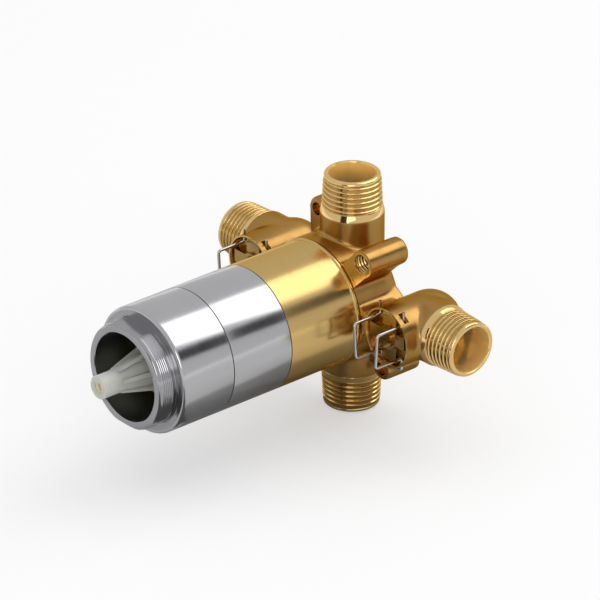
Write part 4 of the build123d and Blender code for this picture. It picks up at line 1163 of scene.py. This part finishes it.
def lamp(name, place, target, width, height, power):
    """A rectangular lamp that faces its target, with its width level."""
    light = bpy.data.lights.new(name, "AREA")
    light.shape, light.size, light.size_y, light.energy = "RECTANGLE", width, height, power
    back = (Vector(place) - Vector(target)).normalized()
    side = Vector((-back.z, 0, back.x)).normalized() if abs(back.x) > 0.01 else Vector((1, 0, 0))
    turn = Matrix((side, back.cross(side), back)).transposed().to_4x4()
    made = placed(name, light)
    made.matrix_world = Matrix.Translation(Vector(place)) @ turn
    return made


def card(name, centre, facing, long_axis, width, length, shade, near=1.0):
    """A card that only the polished metal shows, painting a darker reflection into it; near narrows its near
    end.
    """
    look = Shader(name)
    look.set(roughness=0.9, specular_ior_level=0.1)
    look.link(look.mix(look.noise(9, detail=2), (shade, shade, shade), (shade * 1.15,) * 3), "Base Color")
    facing, side = Vector(facing).normalized(), Vector(long_axis).normalized()
    across = facing.cross(side)
    bm = bmesh.new()
    bm.faces.new([bm.verts.new(Vector(centre) + across * (u * width / 2) + side * (v * length / 2))
                  for u, v in ((-near, -1), (near, -1), (1, 1), (-1, 1))])
    made = finished(bm, name, [look.material])
    made.visible_camera = made.visible_shadow = made.visible_diffuse = False


def camera():
    """The camera where the photograph was taken from."""
    turn, height = math.radians(CAMERA_TURN), math.radians(CAMERA_HEIGHT)
    back = Vector((math.sin(turn) * math.cos(height), -math.cos(turn) * math.cos(height), math.sin(height)))
    right = Vector((math.cos(turn), math.sin(turn), 0))
    up = back.cross(right)
    lens = bpy.data.cameras.new("camera")
    lens.sensor_width, lens.clip_end = SENSOR, 20.0
    lens.lens = SENSOR * CAMERA_FOCAL / CAMERA_FRAME
    eye = placed("camera", lens)
    place = (right * CAMERA_PLACE[0] + up * CAMERA_PLACE[1] + back * CAMERA_PLACE[2]) * MM
    eye.matrix_world = Matrix.Translation(place) @ Matrix((right, up, back)).transposed().to_4x4()
    bpy.context.scene.camera = eye


class VALVE_OT_stage(bpy.types.Operator):
    """Set the pale floor, the soft lights, the dark cards that paint reflections into the metal, and the
    camera
    """
    bl_idname = "valve.stage"
    bl_label = "Stage"

    def execute(self, context):
        context.scene.view_settings.view_transform = "Standard"
        floor()
        backdrop()
        lamp("key", (0.30, 0.78, 1.06), (0, -0.04, 0), 1.0, 1.2, 5.2)
        lamp("front", (0.77, -0.92, 0.42), (0, -0.04, 0), 0.5, 0.8, 2.0)
        lamp("overhead", (0, -0.2, 2.5), (0, -0.2, 0), 3.0, 3.0, 20.0).visible_glossy = False
        # The flags are near-black cards that paint dark reflections into the metal and cast no shade
        # The first card lies where the barrel's upper side mirrors it to the camera
        aim = Vector((0.676, 0.578, 0.456))
        card("flag_high", aim * 0.55 + Vector((0, -0.06, 0)), aim, aim.cross(Vector((-0.563, 0, 0.826))),
             0.15, 0.26, 0.02)
        card("flag_side", (0.30, -0.85, 0.30), (0.34, -0.94, 0), (0, 0, 1), 0.36, 0.69, 0.02)
        ground = -(BOTTOM_TIP_Z + 0.3) * MM
        above = ground + 0.0001
        # Painted reflection: a grey sheet that the metal shows in place of the pale floor
        card("painted_floor_reflection_card", (0.12, 0.05, ground), (0, 0, 1), (0, 1, 0), 0.9, 0.9, 0.58)
        card("flag_low", (0.040, -0.110, above), (0, 0, 1), (0.342, -0.94, 0), 0.09, 0.20, 0.10, near=0.12)
        # Painted shade: a darker sheet under the valve that the metal shows as the floor's shadow
        card("painted_floor_shadow_card", (-0.012, -0.02, above), (0, 0, 1), (0, 1, 0), 0.125, 0.10, 0.30)
        camera()
        return {"FINISHED"}


class VALVE_PT_panel(bpy.types.Panel):
    """Lists the valve's sizes, tones and steps in the sidebar"""
    bl_label = "Concealed Mixing Valve"
    bl_idname = "VALVE_PT_panel"
    bl_space_type = "VIEW_3D"
    bl_region_type = "UI"
    bl_category = "Valve"

    def draw(self, context):
        for group in (context.scene.valve_sizes, context.scene.valve_finish):
            for name in group.__annotations__:
                self.layout.prop(group, name)
        for operator in OPERATORS:
            self.layout.operator(operator.bl_idname)


OPERATORS = (VALVE_OT_casting, VALVE_OT_ports, VALVE_OT_sleeves, VALVE_OT_nose, VALVE_OT_adapter,
             VALVE_OT_clips, VALVE_OT_stops, VALVE_OT_inside, VALVE_OT_stage)
CLASSES = (ValveFinish, ValveSizes) + OPERATORS + (VALVE_PT_panel,)


def register():
    for cls in CLASSES:
        bpy.utils.register_class(cls)
    bpy.types.Scene.valve_finish = bpy.props.PointerProperty(type=ValveFinish)
    bpy.types.Scene.valve_sizes = bpy.props.PointerProperty(type=ValveSizes)


def unregister():
    del bpy.types.Scene.valve_sizes
    del bpy.types.Scene.valve_finish
    for cls in reversed(CLASSES):
        bpy.utils.unregister_class(cls)


def main():
    register()
    for step in (bpy.ops.valve.casting, bpy.ops.valve.ports, bpy.ops.valve.sleeves, bpy.ops.valve.nose,
                 bpy.ops.valve.adapter, bpy.ops.valve.clips, bpy.ops.valve.stops, bpy.ops.valve.inside,
                 bpy.ops.valve.stage):
        step()


if __name__ == "__main__":
    main()
